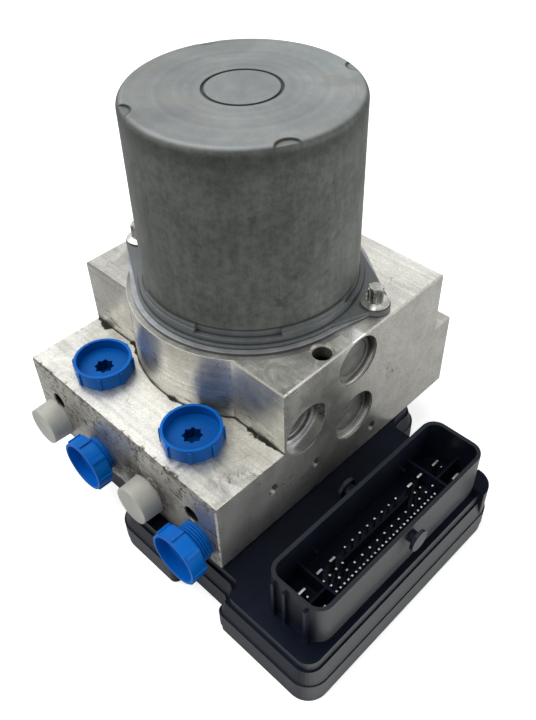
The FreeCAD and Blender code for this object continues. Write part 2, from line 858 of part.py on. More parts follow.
def add_ears(body, name, low, thickness, rim):
    """Screw ears on a round flange: tangent to its rim on one side, hollowed on the other."""
    radius = S.ear_radius
    slope = (rim - radius) / EAR_REACH
    rise = root(1 - slope * slope)
    near_root = root(rim * rim - S.ear_web_reach * S.ear_web_reach)
    outline = [
        (near_root, -S.ear_web_reach), (EAR_REACH, -radius),
        (EAR_REACH + radius * slope, radius * rise), (rim * slope, rim * rise),
    ]
    for number, angle in enumerate(EAR_ANGLES):
        along_x, along_y = cosine(angle), sine(angle)
        web = new_sketch(body, f"{name}_web_{number}", "XY_Plane", low)
        draw_polygon(web, [(out * along_x - across * along_y, out * along_y + across * along_x)
                           for out, across in outline])
        pad(body, web, thickness)
        tip = new_sketch(body, f"{name}_ear_{number}", "XY_Plane", low)
        draw_circle(tip, radius, *ear_centre(angle))
        pad(body, tip, thickness)
    holes = new_sketch(body, f"{name}_holes", "XY_Plane", low)
    for angle in EAR_ANGLES:
        draw_circle(holes, S.motor_screw_radius + S.free_clearance, *ear_centre(angle))
    pocket(body, holes, thickness, upward=True)


def motor_can():
    """The drawn can: flange with ears, bead, groove and stake marks on top, bush seat inside."""
    flange = PLATE_TOP + S.flange_thickness
    bead = flange + S.bead_height
    inner_top = CAN_TOP - S.can_wall
    groove = CAN_TOP - S.groove_depth
    socket = S.bush_radius + S.press_clearance
    can = turned("can_shell", [
        (FLANGE_RADIUS, PLATE_TOP), (FLANGE_RADIUS, flange), (BEAD_RADIUS, flange),
        (BEAD_RADIUS, bead), (S.can_radius, bead), (S.can_radius - S.can_draft, CAN_TOP),
        (S.groove_radius + S.groove_width / 2, CAN_TOP),
        (S.groove_radius + S.groove_width / 2, groove),
        (S.groove_radius - S.groove_width / 2, groove),
        (S.groove_radius - S.groove_width / 2, CAN_TOP), (0, CAN_TOP), (0, BUSH_TOP),
        (socket, BUSH_TOP), (socket, BUSH_BOTTOM), (socket + S.can_wall * 0.8, BUSH_BOTTOM),
        (socket + S.can_wall * 0.8, inner_top), (CAN_INNER, inner_top), (CAN_INNER, PLATE_TOP),
    ])
    add_ears(can, "can", PLATE_TOP, S.flange_thickness, FLANGE_RADIUS)
    round_edges(can, S.can_top_round, circle_at(S.can_radius - S.can_draft, CAN_TOP))
    marks = new_sketch(can, "stake_mark", "XY_Plane", CAN_TOP)
    draw_circle(marks, S.stake_radius, S.can_radius * cosine(S.stake_angle),
                S.can_radius * sine(S.stake_angle))
    stake = pocket(can, marks, S.stake_depth)
    around(can, [stake], S.stake_count)
    return node("motor_can", join("can_with_steps", [can, *foot_steps(bead)]))


def foot_steps(bead):
    """Raised steps over parts of the can's bead, in two opposite pairs."""
    inside = S.can_radius - S.can_wall / 2
    steps = []
    for number, middle in enumerate((S.first_step_angle, S.second_step_angle)):
        for opposite in (0, 180):
            steps.append(turned(f"foot_step_{number}_{opposite}", [
                (inside, bead - 0.5), (BEAD_RADIUS, bead - 0.5),
                (BEAD_RADIUS, bead + S.step_height / 2), (STEP_RADIUS, bead + S.step_height / 2),
                (STEP_RADIUS, bead + S.step_height), (inside, bead + S.step_height),
            ], sweep=S.step_angle, turn=float(middle) + opposite))
    return steps


def motor_end_plate():
    """The bearing plate between can and block, with its hub and the hole for the contacts."""
    lip = S.bearing_outer_radius - S.race_thickness
    collar = S.bearing_outer_radius + S.collar_wall
    race = S.bearing_outer_radius + S.press_clearance
    groove = 1.6
    groove_low = HUB_BOTTOM + 1.2
    plate = turned("motor_end_plate", [
        (lip, HUB_BOTTOM), (S.hub_radius, HUB_BOTTOM), (S.hub_radius, groove_low),
        (S.hub_radius - groove, groove_low), (S.hub_radius - groove, groove_low + groove * 1.1),
        (S.hub_radius, groove_low + groove * 1.1), (S.hub_radius, BLOCK_TOP),
        (PLATE_RADIUS, BLOCK_TOP), (PLATE_RADIUS, PLATE_TOP), (collar, PLATE_TOP),
        (collar, BEARING_TOP), (race, BEARING_TOP), (race, BEARING_BOTTOM), (lip, BEARING_BOTTOM),
    ])
    add_ears(plate, "plate", BLOCK_TOP, S.plate_thickness, PLATE_RADIUS)
    hole = new_sketch(plate, "contact_hole", "XY_Plane", BLOCK_TOP)
    draw_circle(hole, S.contact_bore_radius, 0, CONTACT_Y)
    pocket(plate, hole, S.plate_thickness, upward=True)
    node("motor_end_plate", plate)
    section = groove / 2 - S.press_clearance
    seal = doc.addObject("Part::Torus", "motor_seal")
    bind(seal, "Radius1", S.hub_radius - groove / 2)
    bind(seal, "Radius2", section)
    seat(seal, (0, 0, groove_low + groove * 0.55))
    node("motor_seal", seal)


def motor_screws():
    """Flanged screws with a six-lobed head through the ears."""
    screws = []
    seat_z = PLATE_TOP + S.flange_thickness
    for number, angle in enumerate(EAR_ANGLES):
        x, y = ear_centre(angle)
        shank = turned(f"motor_screw_{number}", [
            (0, BLOCK_TOP - S.motor_screw_depth), (S.motor_screw_radius, BLOCK_TOP - S.motor_screw_depth),
            (S.motor_screw_radius, seat_z), (S.screw_washer_radius, seat_z),
            (S.screw_washer_radius, seat_z + S.screw_washer_height * 0.5),
            (S.screw_head_radius, seat_z + S.screw_washer_height),
            (S.screw_head_radius * 0.8, seat_z + S.screw_washer_height),
            (S.screw_head_radius * 0.8, seat_z + S.screw_washer_height + S.screw_head_height),
            (0, seat_z + S.screw_washer_height + S.screw_head_height),
        ], (x, y, 0))
        lobe = new_sketch(shank, f"screw_lobe_{number}", "XY_Plane", seat_z + S.screw_washer_height)
        draw_circle(lobe, S.screw_head_radius * 0.3, S.screw_head_radius * 0.7, 0)
        around(shank, [pad(shank, lobe, S.screw_head_height - 0.4)], 6)
        screws.append(shank)
    node("motor_screws", group("screw_group", screws))


def magnets():
    """Four arc magnets bonded to the inside of the can."""
    outer = CAN_INNER - S.press_clearance
    low = CORE_LOW - S.magnet_overlap
    height = CORE_TOP + S.magnet_overlap - low
    arcs = []
    for number in range(4):
        shell = cylinder(f"magnet_outer_{number}", outer, height, (0, 0, low))
        core = cylinder(f"magnet_inner_{number}", outer - S.magnet_thickness, height,
                        (0, 0, low))
        for piece in (shell, core):
            bind(piece, "Angle", S.magnet_angle)
            turn = number * 90 - S.magnet_angle.value / 2
            piece.Placement = Placement(piece.Placement.Base, Rotation(Vector(0, 0, 1), turn))
        arcs.append(cut(f"magnet_{number}", shell, [core]))
    node("magnets", group("magnet_group", arcs))


def rotor():
    """Shaft with its eccentric, slotted core, windings and commutator."""
    journal_bottom = PUMP_Z - S.ring_height / 2 - 0.4
    journal_top = HUB_BOTTOM + 0.3
    shaft = join("shaft_steps", [
        cylinder("shaft_bar", S.shaft_radius, BUSH_TOP - 0.5 - journal_top, (0, 0, journal_top)),
        cylinder("shaft_journal", S.journal_radius, journal_top - journal_bottom,
                 (0, S.eccentricity, journal_bottom)),
        cylinder("shaft_pilot", S.pilot_radius, journal_bottom - PILOT_BOTTOM - 0.3,
                 (0, 0, PILOT_BOTTOM + 0.3)),
    ])
    node("motor_shaft", shaft)

    bore = S.shaft_radius + S.press_clearance
    height = CORE_TOP - CORE_LOW
    outer = CAN_INNER - S.press_clearance - S.magnet_thickness - S.air_gap
    core = ring("armature_core", bore, outer, CORE_LOW, CORE_TOP)
    slot = new_sketch(core, "winding_slot", "XY_Plane", CORE_LOW)
    inner_end = outer - S.slot_depth
    draw_polygon(slot, [
        (inner_end, -S.slot_width / 2), (outer - 1.6, -S.slot_width / 2),
        (outer - 1.6, -S.slot_opening / 2), (outer + 1.0, -S.slot_opening / 2),
        (outer + 1.0, S.slot_opening / 2), (outer - 1.6, S.slot_opening / 2),
        (outer - 1.6, S.slot_width / 2), (inner_end, S.slot_width / 2),
    ])
    around(core, [pocket(core, slot, height, upward=True)], S.slot_count)
    node("armature_core", core)

    coil_inner = inner_end + S.free_clearance
    coil_outer = outer - 1.6 - S.free_clearance
    half = S.slot_width / 2 - S.free_clearance
    windings = ring("armature_windings", coil_inner - 4.0, coil_outer, CORE_TOP,
                    CORE_TOP + S.winding_overhang)
    foot = new_sketch(windings, "lower_turns", "XY_Plane", CORE_LOW)
    draw_circle(foot, coil_outer)
    draw_circle(foot, coil_inner - 4.0)
    pad(windings, foot, S.winding_overhang, reverse=True)
    bar = new_sketch(windings, "slot_turns", "XY_Plane", CORE_LOW - 0.1)
    draw_polygon(bar, [(coil_inner, -half), (coil_outer, -half), (coil_outer, half), (coil_inner, half)])
    around(windings, [pad(windings, bar, height + 0.2)], S.slot_count)
    node("armature_windings", windings)

    drum = ring("commutator", bore, S.commutator_radius, COMMUTATOR_LOW,
                COMMUTATOR_LOW + S.commutator_height)
    gap = new_sketch(drum, "bar_gap", "XY_Plane", COMMUTATOR_LOW)
    draw_polygon(gap, [
        (S.commutator_radius - 1.0, -0.25), (S.commutator_radius + 1.0, -0.25),
        (S.commutator_radius + 1.0, 0.25), (S.commutator_radius - 1.0, 0.25),
    ])
    around(drum, [pocket(drum, gap, S.commutator_height, upward=True)], S.slot_count)
    node("commutator", drum)


def rotor_bearings():
    """Top bush, lower ball bearing, pilot bush and the needle bearing on the eccentric."""
    running = S.running_clearance
    node("upper_bush", ring("upper_bush", S.shaft_radius + running, S.bush_radius,
                            BUSH_BOTTOM, BUSH_TOP))
    node("pilot_bush", ring("pilot_bush", S.pilot_radius + running, S.pilot_bush_radius,
                            PILOT_BOTTOM, CHAMBER_BOTTOM))
    outer_bore = S.bearing_outer_radius - S.race_thickness
    inner_face = S.shaft_radius + S.race_thickness
    node("bearing_outer_race", ring("bearing_outer_race", outer_bore, S.bearing_outer_radius,
                                    BEARING_BOTTOM, BEARING_TOP))
    node("bearing_inner_race", ring("bearing_inner_race", S.shaft_radius + S.press_clearance,
                                    inner_face, BEARING_BOTTOM, BEARING_TOP))
    ball_track = (outer_bore + inner_face) / 2
    ball_size = (outer_bore - inner_face) / 2 - running
    balls = []
    for number in range(6):
        ball = doc.addObject("Part::Sphere", f"bearing_ball_{number}")
        bind(ball, "Radius", ball_size)
        seat(ball, (ball_track * cosine(60 * number), ball_track * sine(60 * number),
                    (BEARING_BOTTOM + BEARING_TOP) / 2))
        balls.append(ball)
    node("bearing_balls", group("bearing_ball_group", balls))

    low = PUMP_Z - S.ring_height / 2
    bore = S.ring_radius - S.ring_wall
    node("eccentric_ring", ring("eccentric_ring", bore, S.ring_radius, low,
                                low + S.ring_height, (0, S.eccentricity, 0)))
    track = (bore + S.journal_radius) / 2
    needle = (bore - S.journal_radius) / 2 - running
    needles = []
    for number in range(SIZES["needle_count"]):
        angle = 360 / SIZES["needle_count"] * number
        needles.append(cylinder(f"needle_{number}", needle, S.ring_height, (
            track * cosine(angle), S.eccentricity + track * sine(angle), low)))
    node("needle_rollers", group("needle_group", needles))


def brush_gear():
    """Brush holder with two boxes, brushes, their springs and the contact pins."""
    plate_low = PLATE_TOP + S.holder_base - S.holder_thickness
    plate_top = PLATE_TOP + S.holder_base
    collar = S.bearing_outer_radius + S.collar_wall + S.free_clearance
    rim = CAN_INNER - S.holder_gap
    holder = turned("brush_plate", [
        (collar, plate_low), (rim - 2.0, plate_low), (rim - 2.0, PLATE_TOP),
        (rim, PLATE_TOP), (rim, plate_top), (collar, plate_top),
    ])
    half = S.brush_width / 2 + BRUSH_SLACK
    wall = S.brush_box_wall
    inner = collar
    boxes, channels, brushes, springs = [holder], [], [], []
    for side, sign in SIDES.items():
        low_x = inner if sign > 0 else -S.brush_box_end
        high_x = S.brush_box_end if sign > 0 else -inner
        boxes.append(box(f"brush_box_{side}", (low_x, -half - wall, plate_top - 0.5),
                         (high_x, half + wall, BRUSH_BOX_TOP)))
        low_x = inner - 1.0 if sign > 0 else wall - S.brush_box_end
        high_x = S.brush_box_end - wall if sign > 0 else 1.0 - inner
        channels.append(box(f"brush_channel_{side}", (low_x, -half, BRUSH_Z - half),
                            (high_x, half, BRUSH_Z + half)))
        start = S.commutator_radius + S.free_clearance
        end = start + S.brush_length
        brushes.append(box(
            f"brush_{side}",
            (start if sign > 0 else -end, -S.brush_width / 2, BRUSH_Z - S.brush_width / 2),
            (end if sign > 0 else -start, S.brush_width / 2, BRUSH_Z + S.brush_width / 2)))
        springs.append(spring(f"brush_spring_{side}", S.brush_width * 0.32, S.brush_width * 0.14,
                              S.brush_box_end - wall - end, 3, (end * sign, 0, BRUSH_Z),
                              "+X" if sign > 0 else "-X"))
    exit_hole = cylinder("contact_exit", S.contact_bore_radius, S.holder_base + 2.0,
                         (0, CONTACT_Y, PLATE_TOP - 1.0))
    node("brush_holder", cut("brush_carrier", join("brush_frame", boxes), channels + [exit_hole]))
    node("brushes", group("brush_group", brushes))
    node("brush_springs", group("brush_spring_group", springs))

    pins, holes = [], []
    pin_base = BOARD_TOP
    sleeve_top = plate_top
    for number, sign in enumerate((-1, 1)):
        x = S.contact_pin_spacing * (sign / 2)
        pins.append(cylinder(f"contact_pin_{number}", S.contact_pin_radius,
                             sleeve_top + 1.5 - pin_base, (x, CONTACT_Y, pin_base)))
        holes.append(cylinder(f"contact_pin_hole_{number}",
                              S.contact_pin_radius + S.press_clearance,
                              sleeve_top + 2.0 - BLOCK_BASE, (x, CONTACT_Y, BLOCK_BASE - 1.0)))
    sleeve = cylinder("contact_insulator", S.contact_bore_radius - S.press_clearance,
                      sleeve_top - BLOCK_BASE, (0, CONTACT_Y, BLOCK_BASE))
    node("contact_sleeve", cut("contact_guide", sleeve, holes))
    node("motor_contact_pins", group("contact_group", pins))


# Pump, accumulators and dampers

def pump_side(side):
    sign = SIDES[side]
    outward = "+X" if sign > 0 else "-X"
    piston_bore = S.piston_radius + S.running_clearance
    chamber = S.piston_head_radius + 1.2
    plug_outer = S.pump_bore_radius - S.press_clearance
    end = HALF_WIDTH - S.plug_recess
    spring_seat = PLUG_SEAT + S.pump_plug_length * 0.62
    axis = (0, 0, PUMP_Z)
    sleeve = ring(f"pump_sleeve_{side}", piston_bore, S.sleeve_radius,
                  CHAMBER_RADIUS + S.sleeve_gap, PLUG_SEAT, axis, outward)
    plug = turned(f"pump_plug_{side}", [
        (chamber, PLUG_SEAT), (plug_outer, PLUG_SEAT), (plug_outer, end - 0.9),
        (plug_outer - 1.1, end - 0.9), (plug_outer - 1.1, end), (plug_outer - 2.2, end),
        (plug_outer - 2.2, end - 0.4), (0, end - 0.4), (0, spring_seat), (chamber, spring_seat),
    ], axis, outward)
    node(f"pump_plug_{side}", plug)
    tip = S.ring_radius + S.eccentricity + S.free_clearance / 2
    head = PLUG_SEAT + S.eccentricity + S.free_clearance
    piston = turned(f"pump_piston_{side}", [
        (0, tip), (S.piston_radius, tip), (S.piston_radius, head), (S.piston_head_radius, head),
        (S.piston_head_radius, head + 1.4), (0, head + 1.4),
    ], axis, outward)
    node(f"pump_piston_{side}", piston)
    start = head + 1.4
    node(f"pump_spring_{side}", spring(
        f"pump_spring_{side}", S.piston_head_radius - S.pump_wire / 2, S.pump_wire,
        spring_seat - start, 3, (start * sign, 0, PUMP_Z), outward))
    return sleeve


def accumulator_side(side):
    sign = SIDES[side]
    outward = "+X" if sign > 0 else "-X"
    axis = (0, 0, ACCUMULATOR_Z)
    outer = S.accumulator_radius - S.running_clearance
    wall = 1.6
    start = S.accumulator_bottom + S.free_clearance
    floor = start + 2.4
    end = start + S.accumulator_piston_length
    groove = 1.4
    piston = turned(f"accumulator_piston_{side}", [
        (0, start), (outer - 0.5, start), (outer, start + 0.5), (outer, start + 3.6),
        (outer - groove, start + 3.6), (outer - groove, start + 3.6 + groove * 1.1),
        (outer, start + 3.6 + groove * 1.1), (outer, end), (outer - wall, end),
        (outer - wall, start + 6.4), (outer - wall - groove, start + 6.4),
        (outer - wall - groove, floor), (0, floor),
    ], axis, outward)
    node(f"accumulator_piston_{side}", piston)
    seal = doc.addObject("Part::Torus", f"accumulator_seal_{side}")
    bind(seal, "Radius1", outer - groove / 2)
    bind(seal, "Radius2", groove / 2 - S.press_clearance)
    seat(seal, ((start + 3.6 + groove * 0.55) * sign, 0, ACCUMULATOR_Z), outward)
    node(f"accumulator_seal_{side}", seal)
    cap_outer = S.accumulator_radius - S.press_clearance
    cap_end = HALF_WIDTH - S.plug_recess
    cap = turned(f"accumulator_cap_{side}", [
        (0, CAP_INNER), (cap_outer, CAP_INNER), (cap_outer, cap_end - 0.8),
        (cap_outer - 0.8, cap_end), (cap_outer - 2.0, cap_end), (cap_outer - 2.0, cap_end - 0.5),
        (0, cap_end - 0.5),
    ], axis, outward)
    node(f"accumulator_cap_{side}", cap)
    node(f"accumulator_spring_{side}", spring(
        f"accumulator_spring_{side}", outer - wall - groove - S.accumulator_wire,
        S.accumulator_wire, CAP_INNER - floor, 4, (floor * sign, 0, ACCUMULATOR_Z), outward))


def damper_side(side):
    outward = "+X" if side == "right" else "-X"
    axis = (0, S.damper_y, DAMPER_Z)
    outer = S.damper_radius - S.press_clearance
    cap_end = DAMPER_SEAT + S.damper_cap_length
    cap = turned(f"damper_cap_{side}", [
        (0, DAMPER_SEAT), (outer, DAMPER_SEAT), (outer, cap_end), (outer - 2.4, cap_end),
        (outer - 3.0, cap_end - 1.0), (0, cap_end - 1.0),
    ], axis, outward)
    return cap, snap_ring(side, axis, outward, cap_end)


def snap_ring(side, axis, outward, low):
    """The open ring that holds a damper cap, sprung into its groove."""
    outer = S.damper_radius + S.snap_groove_depth - S.press_clearance
    loop = ring(f"snap_loop_{side}", outer - S.snap_ring_width, outer, low,
                low + S.snap_ring_thickness, axis, outward)
    base = low - 1.0
    sign = SIDES[side]
    gap_low = (base if sign > 0 else -(low + S.snap_ring_thickness + 1.0),
               S.damper_y - outer - 1.0, DAMPER_Z - 1.6)
    gap_high = (low + S.snap_ring_thickness + 1.0 if sign > 0 else -base,
                S.damper_y - outer + S.snap_ring_width + 1.0, DAMPER_Z + 1.6)
    gap = box(f"snap_gap_{side}", gap_low, gap_high)
    return cut(f"snap_ring_{side}", loop, [gap])


def sealing_balls():
    """Balls pressed into the ends of the drilled galleries."""
    balls = []
    for side, sign in SIDES.items():
        for number, (y, z) in enumerate(GALLERIES):
            ball = doc.addObject("Part::Sphere", f"gallery_ball_{side}_{number}")
            bind(ball, "Radius", S.ball_radius)
            seat(ball, ((HALF_WIDTH - S.ball_radius - S.ball_recess) * sign, y, z))
            balls.append(ball)
    node("sealing_balls", group("gallery_ball_group", balls))


# Solenoid valves

def valves():
    """Twelve valve cartridges and their coils, and the pressure sensor."""
    collar = S.valve_collar_radius
    cartridge = turned("valve_cartridge", [
        (0, -S.valve_sleeve_length), (S.valve_sleeve_radius * 0.6, -S.valve_sleeve_length),
        (S.valve_sleeve_radius, -S.valve_sleeve_length + 1.2), (S.valve_sleeve_radius, 0),
        (collar, 0), (collar, S.valve_collar_depth), (S.valve_stem_radius, S.valve_collar_depth),
        (S.valve_stem_radius, S.valve_stem_depth), (0, S.valve_stem_depth),
    ])
    coil = ring("coil", S.valve_sleeve_radius + 0.2, S.coil_radius, -S.coil_height, 0)
    places = [(float(x), float(y)) for x in COLUMNS for y in ROWS]
    node("valve_cartridges", copies("cartridge_group", cartridge, [
        Placement(Vector(x, y, float(BLOCK_BASE)), Rotation()) for x, y in places]))
    node("valve_coils", copies("coil_group", coil, [
        Placement(Vector(x, y, float(COIL_TOP)), Rotation()) for x, y in places]))
    sensor = turned("pressure_sensor", [
        (0, BOARD_TOP), (S.sensor_radius * 0.8, BOARD_TOP), (S.sensor_radius * 0.8, BLOCK_BASE),
        (S.sensor_radius, BLOCK_BASE), (S.sensor_radius, BLOCK_BASE + S.valve_collar_depth),
        (S.valve_stem_radius, BLOCK_BASE + S.valve_collar_depth),
        (S.valve_stem_radius, BLOCK_BASE + S.valve_stem_depth),
        (0, BLOCK_BASE + S.valve_stem_depth),
    ], (0, S.sensor_y, 0))
    node("pressure_sensor", sensor)
    pins = []
    for number, (x, y) in enumerate([(x, y) for x in COLUMNS for y in ROWS]):
        for sign in (-1, 1):
            centre = x + 2.5 * sign
            edge = y - S.coil_radius * 0.7
            pins.append(box(f"coil_pin_{number}_{sign + 1}", (centre - 0.35, edge - 0.35, BOARD_TOP),
                            (centre + 0.35, edge + 0.35, COIL_TOP - S.coil_height)))
    node("coil_pins", group("coil_pin_group", pins))


# Control unit

def unit_outline(inset):
    """The control unit's outline, drawn in by an inset, with its corner radii."""
    far = S.outline_round - inset
    near = S.notch_round + inset
    return [
        (S.unit_left + inset, S.unit_front + inset, far),
        (S.lobe_left + inset, S.unit_front + inset, near),
        (S.lobe_left + inset, S.lobe_front + inset, far),
        (S.lobe_right - inset, S.lobe_front + inset, S.notch_round),
        (S.lobe_right - inset, S.notch_front + inset, S.notch_round),
        (S.wing_left + inset, S.notch_front + inset, S.notch_round),
        (S.wing_left + inset, S.lobe_front + inset, S.notch_round),
        (S.unit_right - inset, S.lobe_front + inset, far),
        (S.unit_right - inset, S.wing_back - inset, far),
        (S.body_right - inset, S.wing_back - inset, near),
        (S.body_right - inset, S.unit_back - inset, far),
        (S.unit_left + inset, S.unit_back - inset, far),
    ]


def rounded_box(low_x, high_x, low_y, high_y, radius):
    return [(low_x, low_y, radius), (high_x, low_y, radius),
            (high_x, high_y, radius), (low_x, high_y, radius)]


def shroud_outline(inset):
    return rounded_box(S.shroud_left + inset, S.shroud_right - inset, S.shroud_front + inset,
                       S.shroud_back - inset, S.shroud_round - inset)


def lug_outline():
    """The raised corner behind the connector, flush with the shoulder."""
    right, back = S.unit_right - S.shoulder_inset, S.wing_back - S.shoulder_inset
    corner = S.outline_round - S.shoulder_inset
    left, front, small = right - S.lug_width, back - S.lug_length, 0.3
    return [(left, front, small), (right, front, small), (right, back, corner),
            (left, back, small)]


def window_outline(grow):
    reach = S.valve_column_spacing * 1.5 + S.window_margin + grow
    return rounded_box(-reach, reach, S.valve_front_row - S.window_margin - grow,
                       S.valve_back_row + S.window_margin + grow, S.window_round + grow)


def add_outline(body, name, height, length, *outlines, taper=None):
    sketch = new_sketch(body, name, "XY_Plane", height)
    for corners in outlines:
        draw_rounded(sketch, corners)
    return pad(body, sketch, length, taper=taper)


def cut_outline(body, name, height, depth, *outlines):
    sketch = new_sketch(body, name, "XY_Plane", height)
    for corners in outlines:
        draw_rounded(sketch, corners)
    return pocket(body, sketch, depth, upward=True)


def unit_housing():
    """The moulding: skirt, shoulder, plinth, connector shroud, ribs and screw posts."""
    shell = body_named("unit_shell")
    add_outline(shell, "skirt", HOUSING_BASE, S.flange_top - HOUSING_BASE, unit_outline(0))
    add_outline(shell, "shoulder", S.flange_top, S.shoulder_top - S.flange_top,
                unit_outline(S.shoulder_inset), taper=-S.shoulder_angle)
    add_outline(shell, "plinth", S.shoulder_top, BLOCK_BASE - S.shoulder_top,
                unit_outline(S.plinth_inset))
    add_outline(shell, "lug", S.flange_top, BLOCK_BASE + S.lug_height - S.flange_top,
                lug_outline())
    add_outline(shell, "shroud", BLOCK_BASE, S.shroud_height, shroud_outline(0))
    cut_outline(shell, "inside", HOUSING_BASE, BLOCK_BASE - S.unit_plate - HOUSING_BASE,
                unit_outline(S.unit_wall + S.plinth_inset * 0.5))
    cut_outline(shell, "shroud_inside", BLOCK_BASE, S.shroud_height, shroud_outline(S.shroud_wall))
    cut_outline(shell, "valve_window", BLOCK_BASE - S.unit_plate, S.unit_plate, window_outline(0))
    cut_outline(shell, "gasket_groove", BLOCK_BASE - S.gasket_depth, S.gasket_depth,
                window_outline(S.gasket_offset + S.gasket_width), window_outline(S.gasket_offset))
    return shell


def shroud_details():
    """Ribs, pegs, cross walls and inner nubs of the connector shroud, as solids to join on."""
    inner_left = S.shroud_left + S.shroud_wall * 0.5
    inner_right = S.shroud_right - S.shroud_wall * 0.5
    low = BLOCK_BASE - 0.5
    top = BLOCK_BASE + S.cross_wall_height
    front_end = S.shroud_front + S.shroud_wall
    back_end = S.shroud_back - S.shroud_wall
    half = S.cross_wall / 2
    parts = []
    for name, start, end in (("front", front_end, front_end + S.end_pocket),
                             ("back", back_end, back_end - S.end_pocket)):
        parts.append(box(f"cross_wall_{name}", (inner_left, end - half, low),
                         (inner_right, end + half, top)))
        first, last = (start, end) if name == "front" else (end, start)
        parts.append(box(f"divider_{name}", (S.divider_x - half, first - half, low),
                         (S.divider_x + half, last + half, top)))
    parts.append(box("rib_wall", (S.rib_wall_x - half, S.rib_wall_front, low),
                     (S.rib_wall_x + half, S.rib_wall_back, BLOCK_BASE + S.rib_wall_height)))
    for number, x in enumerate((S.foot_rib_first, S.foot_rib_second, S.foot_rib_third)):
        parts.append(box(f"foot_rib_{number}",
                         (x - S.foot_rib_width / 2, S.shroud_front - S.foot_rib_reach, low),
                         (x + S.foot_rib_width / 2, S.shroud_front + S.shroud_wall * 0.5,
                          BLOCK_BASE + S.shroud_height - 1.0)))
    for number, y in enumerate((S.nub_front, S.nub_back)):
        parts.append(cylinder(f"nub_{number}", S.nub_radius, S.nub_length + S.shroud_wall * 0.5,
                              (inner_left, y, BLOCK_BASE + S.nub_height), "+X"))
    for name, x, along in (("right", S.shroud_right, "+X"), ("left", S.shroud_left, "-X")):
        neck_end = S.peg_neck_length
        parts.append(turned(f"peg_{name}", [
            (0, -S.shroud_wall * 0.5), (S.peg_neck_radius, -S.shroud_wall * 0.5),
            (S.peg_neck_radius, neck_end), (S.peg_disc_radius, neck_end),
            (S.peg_disc_radius, neck_end + S.peg_disc_thickness),
            (0, neck_end + S.peg_disc_thickness),
        ], (x, S.peg_y, BLOCK_BASE + S.peg_height), along))
    return parts


def connector_contacts():
    """Rows of square pins and the blades, from the circuit board into the shroud."""
    half = S.pin_width / 2
    top = BLOCK_BASE + S.pin_height
    pins = []
    rows = (
        (S.pin_row_1, S.pin_row_1_front, S.pin_pitch, 8),
        (S.pin_row_2, S.pin_row_2_front, S.pin_pitch, 15),
        (S.pin_row_3, S.pin_row_3_front, S.pin_pitch / 2, 28),
        (S.pin_row_4, S.pin_row_4_front, S.pin_pitch, 15),
        (S.end_pins_x, S.end_pins_front, S.end_pin_pitch, 4),
        (S.end_pins_x, S.end_pins_back, S.end_pin_pitch, 2),
        (S.end_pins_x, S.front_blade_y, S.end_pin_pitch, 1),
        (S.end_pins_x, S.back_blade_y, S.end_pin_pitch, 1),
    )
    for row_number, (x, first, pitch, count) in enumerate(rows):
        for number in range(count):
            y = first + pitch * number
            pins.append(box(f"pin_{row_number}_{number}", (x - half, y - half, BOARD_TOP),
                            (x + half, y + half, top)))
    blades = []
    thin = S.blade_thickness / 2
    for number, (x, y, wide) in enumerate((
            (S.blade_column_1, S.front_blade_y, S.blade_width),
            (S.blade_column_2, S.front_blade_y, S.blade_width),
            (S.blade_column_1, S.back_blade_y, S.blade_width),
            (S.blade_column_2, S.back_blade_y, S.blade_width),
            (S.small_blade_x, S.small_blade_1, S.small_blade_width),
            (S.small_blade_x, S.small_blade_2, S.small_blade_width),
            (S.small_blade_x, S.small_blade_3, S.small_blade_width),
            (S.small_blade_x, S.small_blade_4, S.small_blade_width))):
        blades.append(box(f"blade_{number}", (x - thin, y - wide / 2, BOARD_TOP),
                          (x + thin, y + wide / 2, top)))
    node("connector_pins", group("pin_group", pins))
    node("connector_blades", group("blade_group", blades))
    return pins + blades


def control_unit():
    shell = unit_housing()
    posts, holes = [], connector_contacts()
    ceiling = BLOCK_BASE - S.unit_plate * 0.5
    free = S.free_clearance
    for number, (x, y) in enumerate(UNIT_SCREWS):
        posts.append(cylinder(f"post_{number}", S.post_radius, ceiling - BOARD_TOP - free,
                              (x, y, BOARD_TOP + free)))
        holes.append(stepped_bore(f"post_bore_{number}", [
            (S.unit_screw_head + free, S.counterbore_height - HOUSING_BASE),
            (S.unit_screw_radius + free, BLOCK_BASE + 1.0 - HOUSING_BASE),
        ], (x, y, HOUSING_BASE), "+Z"))
    moulding = join("unit_moulding", [shell, *posts, *shroud_details()])
    node("unit_housing", cut("unit_drilled", moulding, holes))

    head_low = S.counterbore_height - S.unit_screw_head_height
    screws = []
    for number, (x, y) in enumerate(UNIT_SCREWS):
        screws.append(turned(f"unit_screw_{number}", [
            (S.unit_screw_head * 0.5, head_low), (S.unit_screw_head, head_low),
            (S.unit_screw_head, S.counterbore_height), (S.unit_screw_radius, S.counterbore_height),
            (S.unit_screw_radius, BLOCK_BASE + S.unit_screw_depth),
            (0, BLOCK_BASE + S.unit_screw_depth), (0, head_low + S.unit_screw_head_height * 0.6),
            (S.unit_screw_head * 0.5, head_low + S.unit_screw_head_height * 0.6),
        ], (x, y, 0)))
    node("unit_screws", group("unit_screw_group", screws))

    lid = body_named("unit_lid")
    add_outline(lid, "lid_outer", 0, S.lid_rim, unit_outline(S.lid_inset))
    cut_outline(lid, "lid_inner", S.lid_thickness, S.lid_rim - S.lid_thickness,
                unit_outline(S.lid_inset + S.unit_wall))
    node("unit_lid", lid)
    seal = body_named("lid_seal")
    add_outline(seal, "seal_ring", S.lid_rim, S.seal_thickness,
                unit_outline(S.lid_inset + 0.3), unit_outline(S.unit_wall - 0.2))
    node("lid_seal", seal)
    gasket = body_named("block_gasket")
    slack = S.free_clearance / 3
    add_outline(gasket, "gasket_ring", BLOCK_BASE - S.gasket_depth, S.gasket_depth,
                window_outline(S.gasket_offset + S.gasket_width - slack),
                window_outline(S.gasket_offset + slack))
    node("block_gasket", gasket)
    circuit_board()


